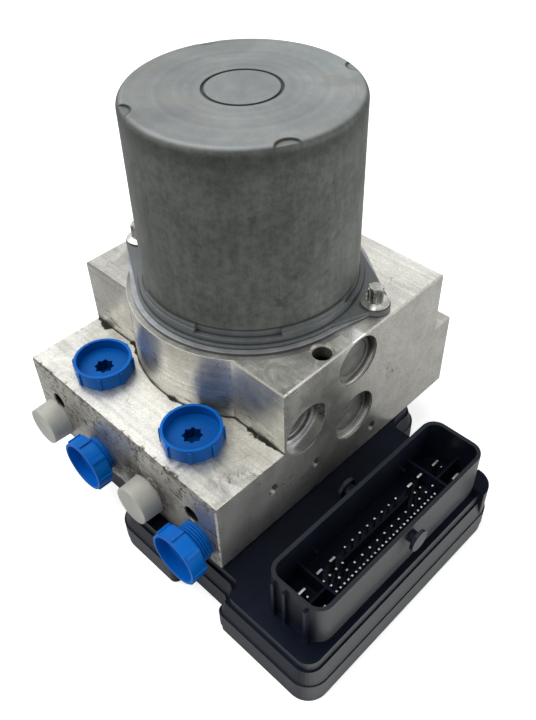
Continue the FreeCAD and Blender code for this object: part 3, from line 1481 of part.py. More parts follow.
def circuit_board():
    board = body_named("circuit_board")
    add_outline(board, "board_outline", S.board_height, S.board_thickness,
                unit_outline(S.unit_wall + S.plinth_inset * 0.5 + S.free_clearance))
    holes = new_sketch(board, "screw_openings", "XY_Plane", S.board_height)
    for x, y in UNIT_SCREWS:
        draw_circle(holes, S.post_radius + S.free_clearance, x, y)
    pocket(board, holes, S.board_thickness, upward=True)
    node("circuit_board", board)
    chips = []
    for name, low_x, high_x, low_y, high_y, tall in (
            ("processor", 14, 32, -11, 7, 1.2), ("driver", -32, -14, -8, 6, 1.1),
            ("supply", 56, 64, -34, -22, 2.4), ("filter", 56, 66, -14, -2, 6.0)):
        chips.append(box(name, (Size(low_x, f"({low_x})"), low_y, BOARD_TOP),
                         (high_x, high_y, BOARD_TOP + tall)))
    for number, (x, y) in enumerate(((61, -52), (61, 12))):
        chips.append(cylinder(f"capacitor_{number}", 5.0, 9.0, (x, y, BOARD_TOP)))
    node("circuit_components", group("component_group", chips))


# Shipping plugs

def threaded_plug(name, at, along, bore_radius, head_radius, standoff, head_height):
    """A plastic plug whose cup-shaped head has grip ribs around it."""
    stem = bore_radius - S.press_clearance
    neck = bore_radius + S.plug_rib_reach
    rim = standoff + head_height
    floor = standoff + S.plug_floor
    inside = head_radius - S.plug_head_wall
    points = [(0, -S.plug_engagement), (stem, -S.plug_engagement), (stem, 0)]
    if float(standoff) > 0:
        points += [(neck, 0), (neck, standoff)]
    points += [(head_radius, standoff), (head_radius, rim), (inside, rim),
               (inside, floor), (0, floor)]
    plug = turned(name, points)
    rib = new_sketch(plug, name + "_rib", "XY_Plane", standoff)
    half = S.plug_rib_width / 2
    reach = head_radius + S.plug_rib_reach
    draw_polygon(rib, [
        (inside + 0.3, -half), (reach, -half), (reach, half), (inside + 0.3, half)])
    around(plug, [pad(plug, rib, head_height - 0.6)], S.plug_rib_count)
    for turn in (0, 45):
        star = new_sketch(plug, f"{name}_star_{turn}", "XY_Plane", floor)
        draw_polygon(star, [
            (S.star_radius * cosine(turn + step), S.star_radius * sine(turn + step))
            for step in (0, 90, 180, 270)])
        pocket(plug, star, S.star_depth)
    node(name, seat(plug, at, along))


def port_cap(name, x):
    """A tapered push-in cap, hollow towards the port."""
    stem = S.port_radius - S.press_clearance
    node(name, turned(name, [
        (stem - 1.2, -S.plug_engagement), (stem, -S.plug_engagement), (stem, 0),
        (S.cap_radius, 0), (S.cap_radius - S.cap_draft, S.cap_length), (0, S.cap_length),
        (0, S.cap_length - 1.2), (stem - 1.2, S.cap_length - 1.2),
    ], (x, BLOCK_FRONT, PORT_Z), "-Y"))


def plugs():
    for side, x in INLETS.items():
        threaded_plug(f"inlet_plug_{side}", (x, INLET_Y, SHELF), "+Z",
                      S.inlet_radius, S.inlet_head_radius, 0, S.inlet_head_height)
    port_cap("port_cap_left", PORT_PLACES[0])
    threaded_plug("port_plug_left", (PORT_PLACES[1], BLOCK_FRONT, PORT_Z), "-Y",
                  S.port_radius, S.outlet_head_radius, S.left_plug_standoff,
                  S.outlet_head_height)
    port_cap("port_cap_right", PORT_PLACES[2])
    threaded_plug("port_plug_right", (PORT_PLACES[3], BLOCK_FRONT, PORT_Z), "-Y",
                  S.port_radius, S.outlet_head_radius, S.right_plug_standoff,
                  S.outlet_head_height)


# Build, check and write the sub-parts

valve_block()
motor_can()
motor_end_plate()
motor_screws()
magnets()
rotor()
rotor_bearings()
brush_gear()
sleeves, damper_caps, snap_rings = [], [], []
for end in SIDES:
    sleeves.append(pump_side(end))
    accumulator_side(end)
    damper_cap, damper_ring = damper_side(end)
    damper_caps.append(damper_cap)
    snap_rings.append(damper_ring)
node("pump_sleeves", group("pump_sleeve_group", sleeves))
node("damper_caps", group("damper_cap_group", damper_caps))
node("snap_rings", group("snap_ring_group", snap_rings))
sealing_balls()
valves()
control_unit()
plugs()
doc.recompute()

for item in doc.Objects:
    if "Invalid" in item.State or "Error" in item.State:
        raise RuntimeError(f"{item.Name} did not build: {item.State}")
for name, item in NODES.items():
    if item.Shape.isNull() or not item.Shape.isValid():
        raise RuntimeError(f"{name} has no valid shape")

os.makedirs("parts", exist_ok=True)
for name, item in NODES.items():
    item.Shape.exportStep(f"parts/{name}.step")
    print(f"{name}: {len(item.Shape.Solids)} solids, {item.Shape.Volume:.0f} mm3")
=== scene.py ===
import json
import math

import bmesh
import bpy
from mathutils import Matrix, Vector

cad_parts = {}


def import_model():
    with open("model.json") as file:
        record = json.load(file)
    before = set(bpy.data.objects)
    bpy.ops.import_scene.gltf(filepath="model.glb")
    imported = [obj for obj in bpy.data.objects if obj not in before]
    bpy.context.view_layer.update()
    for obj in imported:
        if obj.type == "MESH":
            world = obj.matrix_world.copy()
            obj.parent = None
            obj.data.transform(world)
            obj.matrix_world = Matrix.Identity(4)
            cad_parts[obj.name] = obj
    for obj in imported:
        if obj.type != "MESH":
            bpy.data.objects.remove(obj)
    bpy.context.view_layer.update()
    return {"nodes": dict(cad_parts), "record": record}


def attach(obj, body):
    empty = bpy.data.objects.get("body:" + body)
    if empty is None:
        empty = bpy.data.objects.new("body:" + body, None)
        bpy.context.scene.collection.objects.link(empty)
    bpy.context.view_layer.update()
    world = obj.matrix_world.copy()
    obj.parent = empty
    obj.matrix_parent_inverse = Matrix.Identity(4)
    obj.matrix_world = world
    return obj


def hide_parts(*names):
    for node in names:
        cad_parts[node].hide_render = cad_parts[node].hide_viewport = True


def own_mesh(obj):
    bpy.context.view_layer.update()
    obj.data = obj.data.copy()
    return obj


# Brake pressure control module. Lengths are metres. The CAD solids carry the shapes; this script
# gives them their materials, and adds the front plugs' thread turns and the accumulator springs.

MM = 0.001

# Places that the CAD model fixes
SHELF = 52.4 * MM
BLOCK_TOP = 79.4 * MM
UPPER_FRONT = -35.8 * MM
BLOCK_FRONT = -66.6 * MM
HALF_WIDTH = 50.0 * MM
BOSS_RADIUS = 44.6 * MM
CAN_TOP = 149.0 * MM
CAN_RADIUS = 38.0 * MM
FOOT_TOP = 85.0 * MM
FOOT_SEAMS = [(radius * MM, z * MM) for radius, z in (
    (40.8, 80.6), (39.7, 81.8), (38.0, 83.5), (38.0, 86.3))]
GROOVE_RADIUS = 12.0 * MM
STAKE_RADIUS = 4.0 * MM
STAKE_ANGLE = 65.0
PORT_Z = 28.0 * MM
PORT_SPACING = 26.6 * MM
PORT_RADIUS = 6.1 * MM
ACCUMULATOR_Z = 42.6 * MM
SIDE_BORES = ((0.0, 69.2 * MM), (0.0, ACCUMULATOR_Z), (-24.9 * MM, 55.6 * MM))
BORE_RADIUS = 10.4 * MM
THREAD_X = 37.2 * MM
THREAD_Z = 38.5 * MM
THREAD_DEPTH = 15.0 * MM
TOP_THREAD_X = 45.2 * MM
TOP_THREAD_Y = -13.0 * MM
INLET_X = 24.0 * MM
INLET_Y = -51.75 * MM
STAR_TOP = 54.2 * MM
SPRING_START = 19.7 * MM
SPRING_SEAT = 44.2 * MM
SPRING_RADIUS = 5.36 * MM
SPRING_WIRE = 1.2 * MM
SHROUD_TOP = 38.7 * MM
SHROUD_FLOOR = 22.0 * MM
HOUSING_SIDE = 90.0 * MM
ROW_X = 77.2 * MM
ROW_MIDDLE = -22.4 * MM
ROW_HALF = 29.0 * MM

# Camera, solved from the photograph
EYE = Vector((164.6, -153.1, 252.0)) * MM
RIGHT = Vector((0.7134, 0.7004, -0.025))
DOWN = Vector((0.4717, -0.5062, -0.722))
FORWARD = Vector((-0.5183, 0.5032, -0.6915))
LENS = 39.53


# Material building blocks

class Surface:
    """A node material with short calls for the nodes that these surfaces use."""

    def __init__(self, name):
        self.material = bpy.data.materials.new(name)
        self.material.use_nodes = True
        self.tree = self.material.node_tree
        self.shader = self.tree.nodes["Principled BSDF"]
        self.coordinates = self.add("ShaderNodeTexCoord").outputs["Object"]
        self.x, self.y, self.z = self.axes(self.coordinates)
        normal = self.add("ShaderNodeNewGeometry").outputs["True Normal"]
        self.facing_x, self.facing_y, self.facing_z = self.axes(normal)

    def add(self, kind, **settings):
        new_node = self.tree.nodes.new(kind)
        for key, value in settings.items():
            setattr(new_node, key, value)
        return new_node

    def axes(self, vector):
        """The X, Y and Z of a vector: of the surface point in metres, or of its normal."""
        split = self.add("ShaderNodeSeparateXYZ")
        self.put(split.inputs[0], vector)
        return split.outputs

    def put(self, socket, value):
        """Give an input a number, a colour or another node's output."""
        if isinstance(value, bpy.types.NodeSocket):
            self.tree.links.new(value, socket)
        elif isinstance(value, tuple) and len(value) == 3 and socket.type == "RGBA":
            socket.default_value = (*value, 1.0)
        else:
            socket.default_value = value

    def set(self, **inputs):
        """Set the shader's own inputs; underscores stand for spaces."""
        for key, value in inputs.items():
            self.put(self.shader.inputs[key.replace("_", " ")], value)

    def math(self, operation, *values):
        step = self.add("ShaderNodeMath", operation=operation)
        for socket, value in zip(step.inputs, values):
            self.put(socket, value)
        return step.outputs[0]

    def chain(self, operation, values):
        """One operation over a row of values, from the first to the last."""
        result = values[0]
        for value in values[1:]:
            result = self.math(operation, result, value)
        return result

    def both(self, *values):
        """The product: a mask where all the masks are."""
        return self.chain("MULTIPLY", values)

    def either(self, *values):
        """The largest: a mask where any of the masks is."""
        return self.chain("MAXIMUM", values)

    def total(self, *values):
        return self.chain("ADD", values)

    def nearest(self, *values):
        return self.chain("MINIMUM", values)

    def gap(self, value, at=0.0):
        """How far a value is from a place, on either side of it."""
        return self.math("ABSOLUTE", self.math("SUBTRACT", value, at) if at else value)

    def distance(self, first, second, first_at=0.0, second_at=0.0):
        """Distance in a plane from a point, of two coordinates."""
        a = self.math("SUBTRACT", first, first_at)
        b = self.math("SUBTRACT", second, second_at)
        return self.math("SQRT", self.total(self.both(a, a), self.both(b, b)))

    def noise(self, scale, detail=4.0, roughness=0.55, distortion=0.0, stretch=None, along=None):
        """Noise over the surface, with a scale per axis or along one value only."""
        texture = self.add("ShaderNodeTexNoise")
        vector = self.coordinates
        if stretch:
            mapping = self.add("ShaderNodeMapping")
            self.put(mapping.inputs["Vector"], self.coordinates)
            mapping.inputs["Scale"].default_value = stretch
            vector = mapping.outputs[0]
        if along is not None:
            join = self.add("ShaderNodeCombineXYZ")
            self.put(join.inputs[0], along)
            vector = join.outputs[0]
        self.put(texture.inputs["Vector"], vector)
        for key, value in (("Scale", scale), ("Detail", detail), ("Roughness", roughness),
                           ("Distortion", distortion)):
            texture.inputs[key].default_value = value
        return texture.outputs["Fac"]

    def band(self, value, low, high):
        """0 below low, 1 above high and smooth between; low may be the larger one."""
        remap = self.add("ShaderNodeMapRange", interpolation_type="SMOOTHSTEP")
        self.put(remap.inputs["Value"], value)
        start, end, first, last = (low, high, 0.0, 1.0) if low < high else (high, low, 1.0, 0.0)
        for key, number in (("From Min", start), ("From Max", end),
                            ("To Min", first), ("To Max", last)):
            remap.inputs[key].default_value = number
        return remap.outputs["Result"]

    def scaled(self, value, first, last):
        """A 0 to 1 value spread between two numbers."""
        return self.math("MULTIPLY_ADD", value, last - first, first)

    def mix(self, factor, first, second, blend="MIX"):
        blender = self.add("ShaderNodeMix", data_type="RGBA", blend_type=blend)
        for number, value in ((0, factor), (6, first), (7, second)):
            self.put(blender.inputs[number], value)
        return blender.outputs[2]

    def shaded(self, colour, mask, first, last):
        """A colour times a number that the mask takes from first to last."""
        return self.mix(1.0, colour, self.scaled(mask, first, last), "MULTIPLY")

    def relief(self, height, depth, edge=0.0):
        """Bump from a height in 0 to 1, over edges that look softened by a radius."""
        bump = self.add("ShaderNodeBump")
        bump.inputs["Strength"].default_value = 1.0
        self.put(bump.inputs["Distance"], depth)
        self.put(bump.inputs["Height"], height)
        if edge:
            bevel = self.add("ShaderNodeBevel", samples=6)
            bevel.inputs["Radius"].default_value = edge
            self.put(bump.inputs["Normal"], bevel.outputs[0])
        self.put(self.shader.inputs["Normal"], bump.outputs[0])


# Materials

def block_shading(s, colour, end, boss_wall):
    """Painted light and shade on the block: parts painted lighter or darker where its faces catch
    different surroundings, and painted shade on its sloped faces.

    Each term below is a share of the colour that is added to it, or taken off, in one place.
    """
    # Painted highlights on the top towards the back right and the front right, and on the end
    # faces, most near the front; painted shade on the top's left, round the plate, and on the boss
    # wall's left, where a dark reflection is painted.
    upper = s.band(s.z, BLOCK_TOP - 1.0 * MM, BLOCK_TOP - 0.2 * MM)
    far_top = s.both(upper, s.band(s.y, -12.0 * MM, 18.0 * MM),
                     s.scaled(s.band(s.x, -15.0 * MM, 25.0 * MM), -0.10, 0.46))
    near_top = s.both(upper, s.band(s.x, 0.0, 12.0 * MM), s.band(s.y, -12.0 * MM, -24.0 * MM), 0.26)
    far_left = s.both(upper, s.band(s.x, -20.0 * MM, -34.0 * MM), -0.20)
    near_end = s.both(end, s.scaled(s.band(s.y, -16.0 * MM, -32.0 * MM), 0.12, 0.80))
    boss_left = s.both(boss_wall, s.band(s.x, -12.0 * MM, -32.0 * MM), -0.34)
    under_plate = s.both(upper, s.band(s.distance(s.x, s.y), BOSS_RADIUS, BOSS_RADIUS - 0.4 * MM),
                         s.band(s.y, 10.0 * MM, 0.0), -0.42)
    level = s.total(far_top, near_top, far_left, near_end, boss_left, under_plate, 1.0)
    colour = s.mix(1.0, colour, level, "MULTIPLY")
    # Painted shade on the sloped faces.
    sloped = s.both(s.band(s.facing_z, 0.15, 0.40), s.band(s.facing_z, 0.96, 0.85))
    return s.shaded(colour, sloped, 1.0, 0.30)


def block_machining(s, colour, front, rare):
    """Cutter lines on the upright front walls, passes and scuffs on the flat tops."""
    lines = s.noise(500.0, 4.0, 0.7, stretch=(0.03, 0.03, 1.6))
    brushed = s.both(front, s.band(s.z, SHELF, SHELF + 1.0 * MM), s.band(lines, 0.46, 0.60))
    colour = s.shaded(colour, brushed, 1.0, 0.84)
    flat = s.band(s.facing_z, 0.90, 0.97)
    passes = s.noise(500.0, 4.0, 0.7, stretch=(0.03, 1.3, 1.3))
    colour = s.shaded(colour, s.both(flat, s.band(passes, 0.44, 0.60)), 1.0, 0.88)
    scuffs = s.both(s.band(s.noise(240.0, 6.0, 0.8, 1.0), 0.56, 0.62), flat, rare)
    return s.shaded(colour, scuffs, 1.0, 0.62)


def block_grime_and_corner_shade(s, front, port_face, ring_gap, hair):
    """Where soil sits: specks and smears on the port face, and in the shelf's corner a dark,
    irregular mark that is partly soil and partly painted shade.
    """
    speck = s.band(s.noise(430.0, 6.0, 0.74, 0.6), 0.52, 0.58)
    patch = s.band(s.noise(44.0, 4.0, 0.6, 1.2), 0.42, 0.56)
    high = s.band(s.z, 36.0 * MM, 51.0 * MM)
    face_dirt = s.both(s.either(speck, s.both(hair, 0.8)), port_face,
                       s.either(patch, s.both(high, 0.85)))
    port_side = s.gap(s.x, 0.5 * PORT_SPACING)
    round_ports = s.band(s.distance(port_side, s.z, 6.0 * MM, PORT_Z + 5.0 * MM),
                         15.0 * MM, 4.0 * MM)
    port_smear = s.both(port_face, round_ports,
                        s.band(s.noise(150.0, 6.0, 0.75, 1.5), 0.34, 0.50))
    # Painted shade along the shelf's inner edges, widened irregularly as a soil mark.
    corner_gap = s.nearest(s.distance(s.y, s.z, UPPER_FRONT, SHELF),
                           s.distance(ring_gap, s.z, 0.0, SHELF))
    blots = s.both(s.band(s.noise(60.0, 4.0, 0.6), 0.52, 0.68), s.noise(340.0, 6.0, 0.80))
    corner_reach = s.scaled(s.either(blots, s.both(s.noise(400.0, 4.0, 0.7), 0.14)), 0.0, 4.4 * MM)
    corner = s.band(s.math("SUBTRACT", corner_gap, corner_reach), 0.45 * MM, -0.25 * MM)
    dashes = s.noise(330.0, 5.0, 0.7, stretch=(0.35, 0.35, 2.2))
    wall_specks = s.both(s.band(dashes, 0.57, 0.64), front, s.band(s.z, 72.0 * MM, SHELF), 0.9)
    edge_dirt = s.both(s.band(s.distance(s.y, s.z, BLOCK_FRONT, SHELF), 2.4 * MM, 0.3 * MM),
                       s.band(s.noise(260.0, 6.0, 0.78), 0.50, 0.60))
    return s.either(face_dirt, corner, edge_dirt, wall_specks, port_smear)


def block_holes(s, colour):
    """Painted highlights on the end bores' upward walls and lips, painted shade on their downward
    walls, in the threaded holes and deep in the top holes; also the bores' mask.
    """
    # Painted shade on the walls of the threaded holes in the front face.
    thread_hole_shade = s.both(
        s.band(s.distance(s.gap(s.x), s.z, THREAD_X, THREAD_Z), 3.7 * MM, 3.3 * MM),
        s.band(s.y, BLOCK_FRONT + 0.2 * MM, BLOCK_FRONT + 0.8 * MM),
        s.band(s.y, BLOCK_FRONT + THREAD_DEPTH + 3.0 * MM, BLOCK_FRONT + THREAD_DEPTH + 1.0 * MM))
    colour = s.mix(thread_hole_shade, colour, (0.030, 0.028, 0.024))

    side = s.gap(s.x)
    near_bores = s.either(*[s.band(s.distance(s.y, s.z, *bore), BORE_RADIUS + 0.3 * MM, BORE_RADIUS)
                            for bore in SIDE_BORES])
    bore = s.both(near_bores, s.band(side, HALF_WIDTH - 0.2 * MM, HALF_WIDTH - 0.6 * MM))
    lip_highlight = s.both(bore, s.band(side, HALF_WIDTH - 1.2 * MM, HALF_WIDTH - 0.8 * MM))
    # Painted highlight on the bores' upward-facing walls, painted shade on their downward-facing
    # walls, and a painted highlight on the lip.
    bore_light_and_shade = s.mix(s.band(s.facing_z, 0.10, 0.55), (0.26, 0.26, 0.245), (0.86, 0.855, 0.83))
    colour = s.mix(s.both(bore, 0.90), colour, bore_light_and_shade)
    colour = s.mix(lip_highlight, colour, (0.78, 0.775, 0.75))

    top_bore = s.both(
        s.band(s.distance(s.gap(s.x), s.y, TOP_THREAD_X, TOP_THREAD_Y), 4.6 * MM, 4.2 * MM),
        s.band(s.z, BLOCK_TOP - 0.6 * MM, BLOCK_TOP - 1.6 * MM),
        s.band(s.z, BLOCK_TOP - 12.0 * MM, BLOCK_TOP - 11.0 * MM))
    # Painted shade that deepens down the top holes.
    deep = s.band(s.z, BLOCK_TOP - 3.5 * MM, BLOCK_TOP - 6.0 * MM)
    inside = s.mix(deep, (0.30, 0.295, 0.28), (0.020, 0.019, 0.016))
    return s.mix(top_bore, colour, inside), bore


def block_aluminium():
    """Milled aluminium: bright and scratched, soiled on the port face, with soil and painted shade
    in the shelf's corner, painted light and shade by place, and painted highlights and shade in its
    holes.
    """
    s = Surface("block_aluminium_look")
    front = s.band(s.facing_y, -0.3, -0.8)
    end = s.band(s.gap(s.facing_x), 0.4, 0.9)
    port_face = s.both(front, s.band(s.y, BLOCK_FRONT + 2.0 * MM, BLOCK_FRONT + 1.0 * MM))
    ring_gap = s.gap(s.distance(s.x, s.y), BOSS_RADIUS)
    boss_wall = s.both(s.band(ring_gap, 0.30 * MM, 0.15 * MM), s.band(s.facing_z, 0.2, 0.1))

    cloud = s.noise(30.0, 5.0, 0.6, 0.4)
    smudge = s.noise(120.0, 7.0, 0.72, 0.8)
    fine = s.noise(1500.0, 3.0, 0.65)
    milled = s.noise(60.0, 5.0, 0.62, stretch=(0.35, 9.0, 9.0))
    upright = s.noise(60.0, 5.0, 0.62, stretch=(9.0, 9.0, 0.35))
    grain = s.total(s.both(milled, s.math("SUBTRACT", 1.0, front)), s.both(upright, front))
    hair = s.band(s.gap(s.noise(230.0, 2.0, 0.5, 0.5), 0.5), 0.016, 0.006)
    rare = s.band(s.noise(75.0, 3.0, 0.6), 0.60, 0.66)

    colour = s.mix(s.band(cloud, 0.35, 0.68), (0.525, 0.517, 0.472), (0.665, 0.657, 0.612))
    colour = s.shaded(colour, s.band(smudge, 0.34, 0.66), 0.86, 1.06)
    colour = s.shaded(colour, s.band(fine, 0.30, 0.70), 0.84, 1.10)
    colour = s.mix(s.both(s.band(grain, 0.44, 0.62), 0.10), colour, (0.80, 0.795, 0.77))
    colour = block_shading(s, colour, end, boss_wall)
    colour = block_machining(s, colour, front, rare)

    grime_and_corner_shade = block_grime_and_corner_shade(s, front, port_face, ring_gap, hair)
    pits = s.both(s.either(s.band(s.noise(300.0, 5.0, 0.7), 0.67, 0.73), s.both(hair, rare)), 0.6)
    dirt_and_corner_shade = s.either(grime_and_corner_shade, pits)
    # Darkened where soil lies and where shade is painted in the shelf's corner.
    colour = s.mix(s.both(dirt_and_corner_shade, s.scaled(fine, 0.90, 1.0)), colour, (0.014, 0.011, 0.008))
    film = s.both(s.either(s.both(port_face, 0.8), s.both(front, 0.9)),
                  s.scaled(s.band(smudge, 0.38, 0.62), 0.15, 0.50))
    colour = s.mix(film, colour, (0.22, 0.20, 0.16))
    colour, bore = block_holes(s, colour)

    dull = s.either(dirt_and_corner_shade, s.both(s.band(smudge, 0.3, 0.7), s.scaled(end, 1.0, 0.45)))
    rough = s.total(s.scaled(dull, 0.28, 0.48), s.both(boss_wall, -0.05), s.both(grime_and_corner_shade, 0.22))
    s.set(Base_Color=colour, Metallic=s.scaled(grime_and_corner_shade, 0.84, 1.0),
          Roughness=s.both(rough, s.scaled(bore, 1.0, 0.5)))
    s.relief(s.total(s.both(grain, 0.4), s.both(fine, 0.6)), 0.05 * MM, 0.12 * MM)
    return s.material


def can_lid(s, radius, mottle, rings):
    """The can's turned top, with its ring groove, the four stake marks in its rim, and painted
    light that grows towards its right and back.
    """
    lid = s.mix(s.band(s.noise(34.0, 5.0, 0.6, 0.6), 0.3, 0.7), (0.195, 0.212, 0.214),
                (0.265, 0.284, 0.282))
    outside = s.band(radius, GROOVE_RADIUS - 1.0 * MM, GROOVE_RADIUS + 4.0 * MM)
    lid = s.mix(outside, lid, s.shaded(lid, s.band(rings, 0.30, 0.70), 0.90, 1.07))
    # Painted light: the lid is darker to the left and front, lighter to the right and back.
    painted_light_across = s.band(s.total(s.x, s.y), -45.0 * MM, 45.0 * MM)
    lid = s.shaded(lid, painted_light_across, 0.86, 1.14)
    lid = s.shaded(lid, s.band(mottle, 0.3, 0.7), 0.92, 1.06)
    stain = s.band(s.noise(70.0, 6.0, 0.72, 0.8), 0.50, 0.64)
    lid = s.mix(s.both(stain, 0.35), lid, (0.235, 0.225, 0.195))
    groove = s.band(s.gap(radius, GROOVE_RADIUS), 0.80 * MM, 0.40 * MM)
    lid = s.mix(s.both(groove, 0.88), lid, (0.022, 0.025, 0.025))
    for number in range(4):
        turn = math.radians(STAKE_ANGLE + 90.0 * number)
        away = s.distance(s.x, s.y, CAN_RADIUS * math.cos(turn), CAN_RADIUS * math.sin(turn))
        rim = s.band(s.gap(away, STAKE_RADIUS), 0.55 * MM, 0.20 * MM)
        lid = s.mix(s.both(rim, 0.8), lid, (0.030, 0.032, 0.032))
    return lid


def motor_zinc():
    """The can's dull zinc: dark and blotchy round the side, with painted shade under the rim and
    down the upper side, a painted highlight towards the right and back, and a turned, lighter top.
    """
    s = Surface("motor_zinc_look")
    radius = s.distance(s.x, s.y)
    mottle = s.noise(420.0, 6.0, 0.72)
    streak = s.noise(110.0, 6.0, 0.7, stretch=(3.0, 3.0, 0.25))
    colour = s.mix(s.band(s.noise(26.0, 6.0, 0.66, 0.5), 0.32, 0.70), (0.086, 0.094, 0.086),
                   (0.138, 0.148, 0.135))
    colour = s.shaded(colour, s.band(mottle, 0.32, 0.68), 0.76, 1.20)
    colour = s.shaded(colour, s.band(streak, 0.34, 0.66), 0.88, 1.08)
    spots = s.both(s.band(s.noise(130.0, 5.0, 0.65), 0.64, 0.71), 0.55)
    colour = s.mix(spots, colour, (0.045, 0.048, 0.044))
    # Painted shade under the rim and down the upper side; a painted highlight on the side towards
    # the right and back.
    colour = s.shaded(colour, s.band(s.z, CAN_TOP - 9.0 * MM, CAN_TOP - 2.0 * MM), 1.0, 0.66)
    colour = s.shaded(colour, s.band(s.z, CAN_TOP - 48.0 * MM, CAN_TOP - 12.0 * MM), 1.0, 0.86)
    colour = s.shaded(colour, s.band(s.total(s.x, s.y), 10.0 * MM, 44.0 * MM), 1.0, 1.22)
    foot = s.both(s.band(s.z, FOOT_TOP + 3.0 * MM, FOOT_TOP), 0.55)
    colour = s.mix(foot, colour, (0.165, 0.180, 0.190))
    seams = s.either(*[s.band(s.distance(radius, s.z, *seam), 0.60 * MM, 0.10 * MM)
                       for seam in FOOT_SEAMS])
    colour = s.mix(s.both(seams, 0.75), colour, (0.015, 0.016, 0.017))

    rings = s.noise(420.0, 3.0, 0.5, along=radius)
    top = s.both(s.band(s.facing_z, 0.60, 0.99),
                 s.band(s.z, CAN_TOP - 1.4 * MM, CAN_TOP - 0.1 * MM))
    colour = s.mix(top, colour, can_lid(s, radius, mottle, rings))
    s.set(Base_Color=colour, Metallic=0.6, Roughness=s.scaled(mottle, 0.42, 0.66))
    fine = s.noise(1500.0, 4.0, 0.6)
    s.relief(s.total(s.both(rings, top, 0.3), s.both(fine, 0.5)), 0.05 * MM, 0.3 * MM)
    return s.material


def plate_zinc():
    """The end plate's satin zinc, with painted shade in a line along its side where it lies on the
    block.
    """
    s = Surface("plate_zinc_look")
    cloud = s.noise(120.0, 5.0, 0.65)
    colour = s.mix(s.band(cloud, 0.3, 0.7), (0.27, 0.28, 0.297), (0.41, 0.425, 0.445))
    # Painted shade: a dark line on the plate's side just above the block.
    side = s.both(s.band(s.facing_z, 0.6, 0.3),
                  s.band(s.z, BLOCK_TOP + 1.3 * MM, BLOCK_TOP + 0.9 * MM))
    colour = s.mix(s.both(side, 0.85), colour, (0.015, 0.015, 0.016))
    s.set(Base_Color=colour, Metallic=0.6, Roughness=s.scaled(cloud, 0.32, 0.50))
    s.relief(s.noise(900.0, 3.0), 0.03 * MM, 0.2 * MM)
    return s.material


def bright_metal(name, dark, light, rough=0.3, edge=0.2 * MM, side=1.0):
    """Plain plated or ground metal with slight stains; its upright faces can be darkened with
    painted shade.
    """
    s = Surface(name)
    cloud = s.noise(320.0, 5.0, 0.6)
    colour = s.mix(s.band(cloud, 0.35, 0.65), dark, light)
    # Painted shade on the upright faces, by the factor side.
    colour = s.shaded(colour, s.band(s.facing_z, 0.2, 0.7), side, 1.0)
    s.set(Base_Color=colour, Metallic=0.85, Roughness=s.scaled(cloud, rough - 0.08, rough + 0.14))
    s.relief(s.noise(1500.0, 3.0), 0.02 * MM, edge)
    return s.material


def turned_caps():
    """The discs in the end faces: dull, with turning rings about each bore's own axis."""
    s = Surface("turned_caps_look")
    away = s.nearest(*[s.distance(s.y, s.z, *bore) for bore in SIDE_BORES])
    rings = s.math("SINE", s.both(away, 2.0 * math.pi / (0.55 * MM)))
    cloud = s.noise(120.0, 5.0, 0.6)
    colour = s.mix(s.band(cloud, 0.3, 0.7), (0.12, 0.12, 0.113), (0.22, 0.22, 0.207))
    s.set(Base_Color=colour, Metallic=0.75, Roughness=s.scaled(cloud, 0.25, 0.42))
    s.relief(s.scaled(rings, 0.5, 1.0), 0.05 * MM, 0.25 * MM)
    return s.material


def moulded(name, dark, light, rough, grain, depth, edge, specular=0.5):
    """Moulded plastic with a fine grain and slight variation. Returns it with its colour."""
    s = Surface(name)
    cloud = s.noise(60.0, 5.0, 0.6)
    colour = s.mix(s.band(cloud, 0.3, 0.75), dark, light)
    s.set(Base_Color=colour, Roughness=s.scaled(cloud, rough - 0.06, rough + 0.10))
    s.shader.inputs["Specular IOR Level"].default_value = specular
    s.relief(s.noise(grain, 3.0, 0.6), depth, edge)
    return s, colour


def plain(*settings):
    """A moulded plastic or rubber as it is, with nothing added to it."""
    return moulded(*settings)[0].material


def black_plastic():
    """Satin black moulding: deep black where it faces up, with a soft sheen down its sides, and a
    painted sheen of lighter grey on the side of the housing that faces +X.
    """
    s, colour = moulded("black_plastic_look", (0.0033, 0.0052, 0.0118), (0.0064, 0.0093, 0.0187),
                        0.36, 2600.0, 0.03 * MM, 0.45 * MM)
    upward = s.band(s.facing_z, 0.3, 0.9)
    upright = s.math("SUBTRACT", 1.0, upward)
    outward_sheen = s.both(s.band(s.facing_x, 0.3, 0.9),
                     s.band(s.x, HOUSING_SIDE - 2.0 * MM, HOUSING_SIDE))
    dust = s.both(s.band(s.noise(900.0, 5.0, 0.8), 0.62, 0.74), upward, 0.10)
    colour = s.mix(dust, colour, (0.08, 0.085, 0.10))
    strip = s.both(s.band(s.z, SHROUD_FLOOR + 2.0 * MM, SHROUD_FLOOR), upward,
                   s.band(s.gap(s.x, ROW_X), 3.0 * MM, 2.4 * MM),
                   s.band(s.gap(s.y, ROW_MIDDLE), ROW_HALF + 1.0 * MM, ROW_HALF),
                   s.band(s.noise(900.0, 4.0, 0.7), 0.35, 0.62))
    colour = s.mix(strip, colour, (0.022, 0.025, 0.030))
    colour = s.mix(s.band(s.z, SHROUD_TOP - 0.5 * MM, SHROUD_TOP), colour, (0.026, 0.029, 0.036))
    # Painted sheen: a lighter grey on the side of the housing that faces +X.
    s.set(Base_Color=s.mix(outward_sheen, colour, (0.072, 0.077, 0.080)),
          Specular_IOR_Level=s.total(s.both(upright, s.scaled(outward_sheen, 0.32, 0.85)), 0.05))
    return s.material


def white_plastic():
    """Milky cap plastic that lets a little light in."""
    s = moulded("white_plastic_look", (0.40, 0.40, 0.355), (0.52, 0.52, 0.475), 0.34, 900.0,
                0.02 * MM, 0.5 * MM)[0]
    s.shader.inputs["Subsurface Weight"].default_value = 0.35
    s.shader.inputs["Subsurface Radius"].default_value = (0.004, 0.004, 0.0035)
    s.shader.inputs["Subsurface Scale"].default_value = 1.0
    return s.material


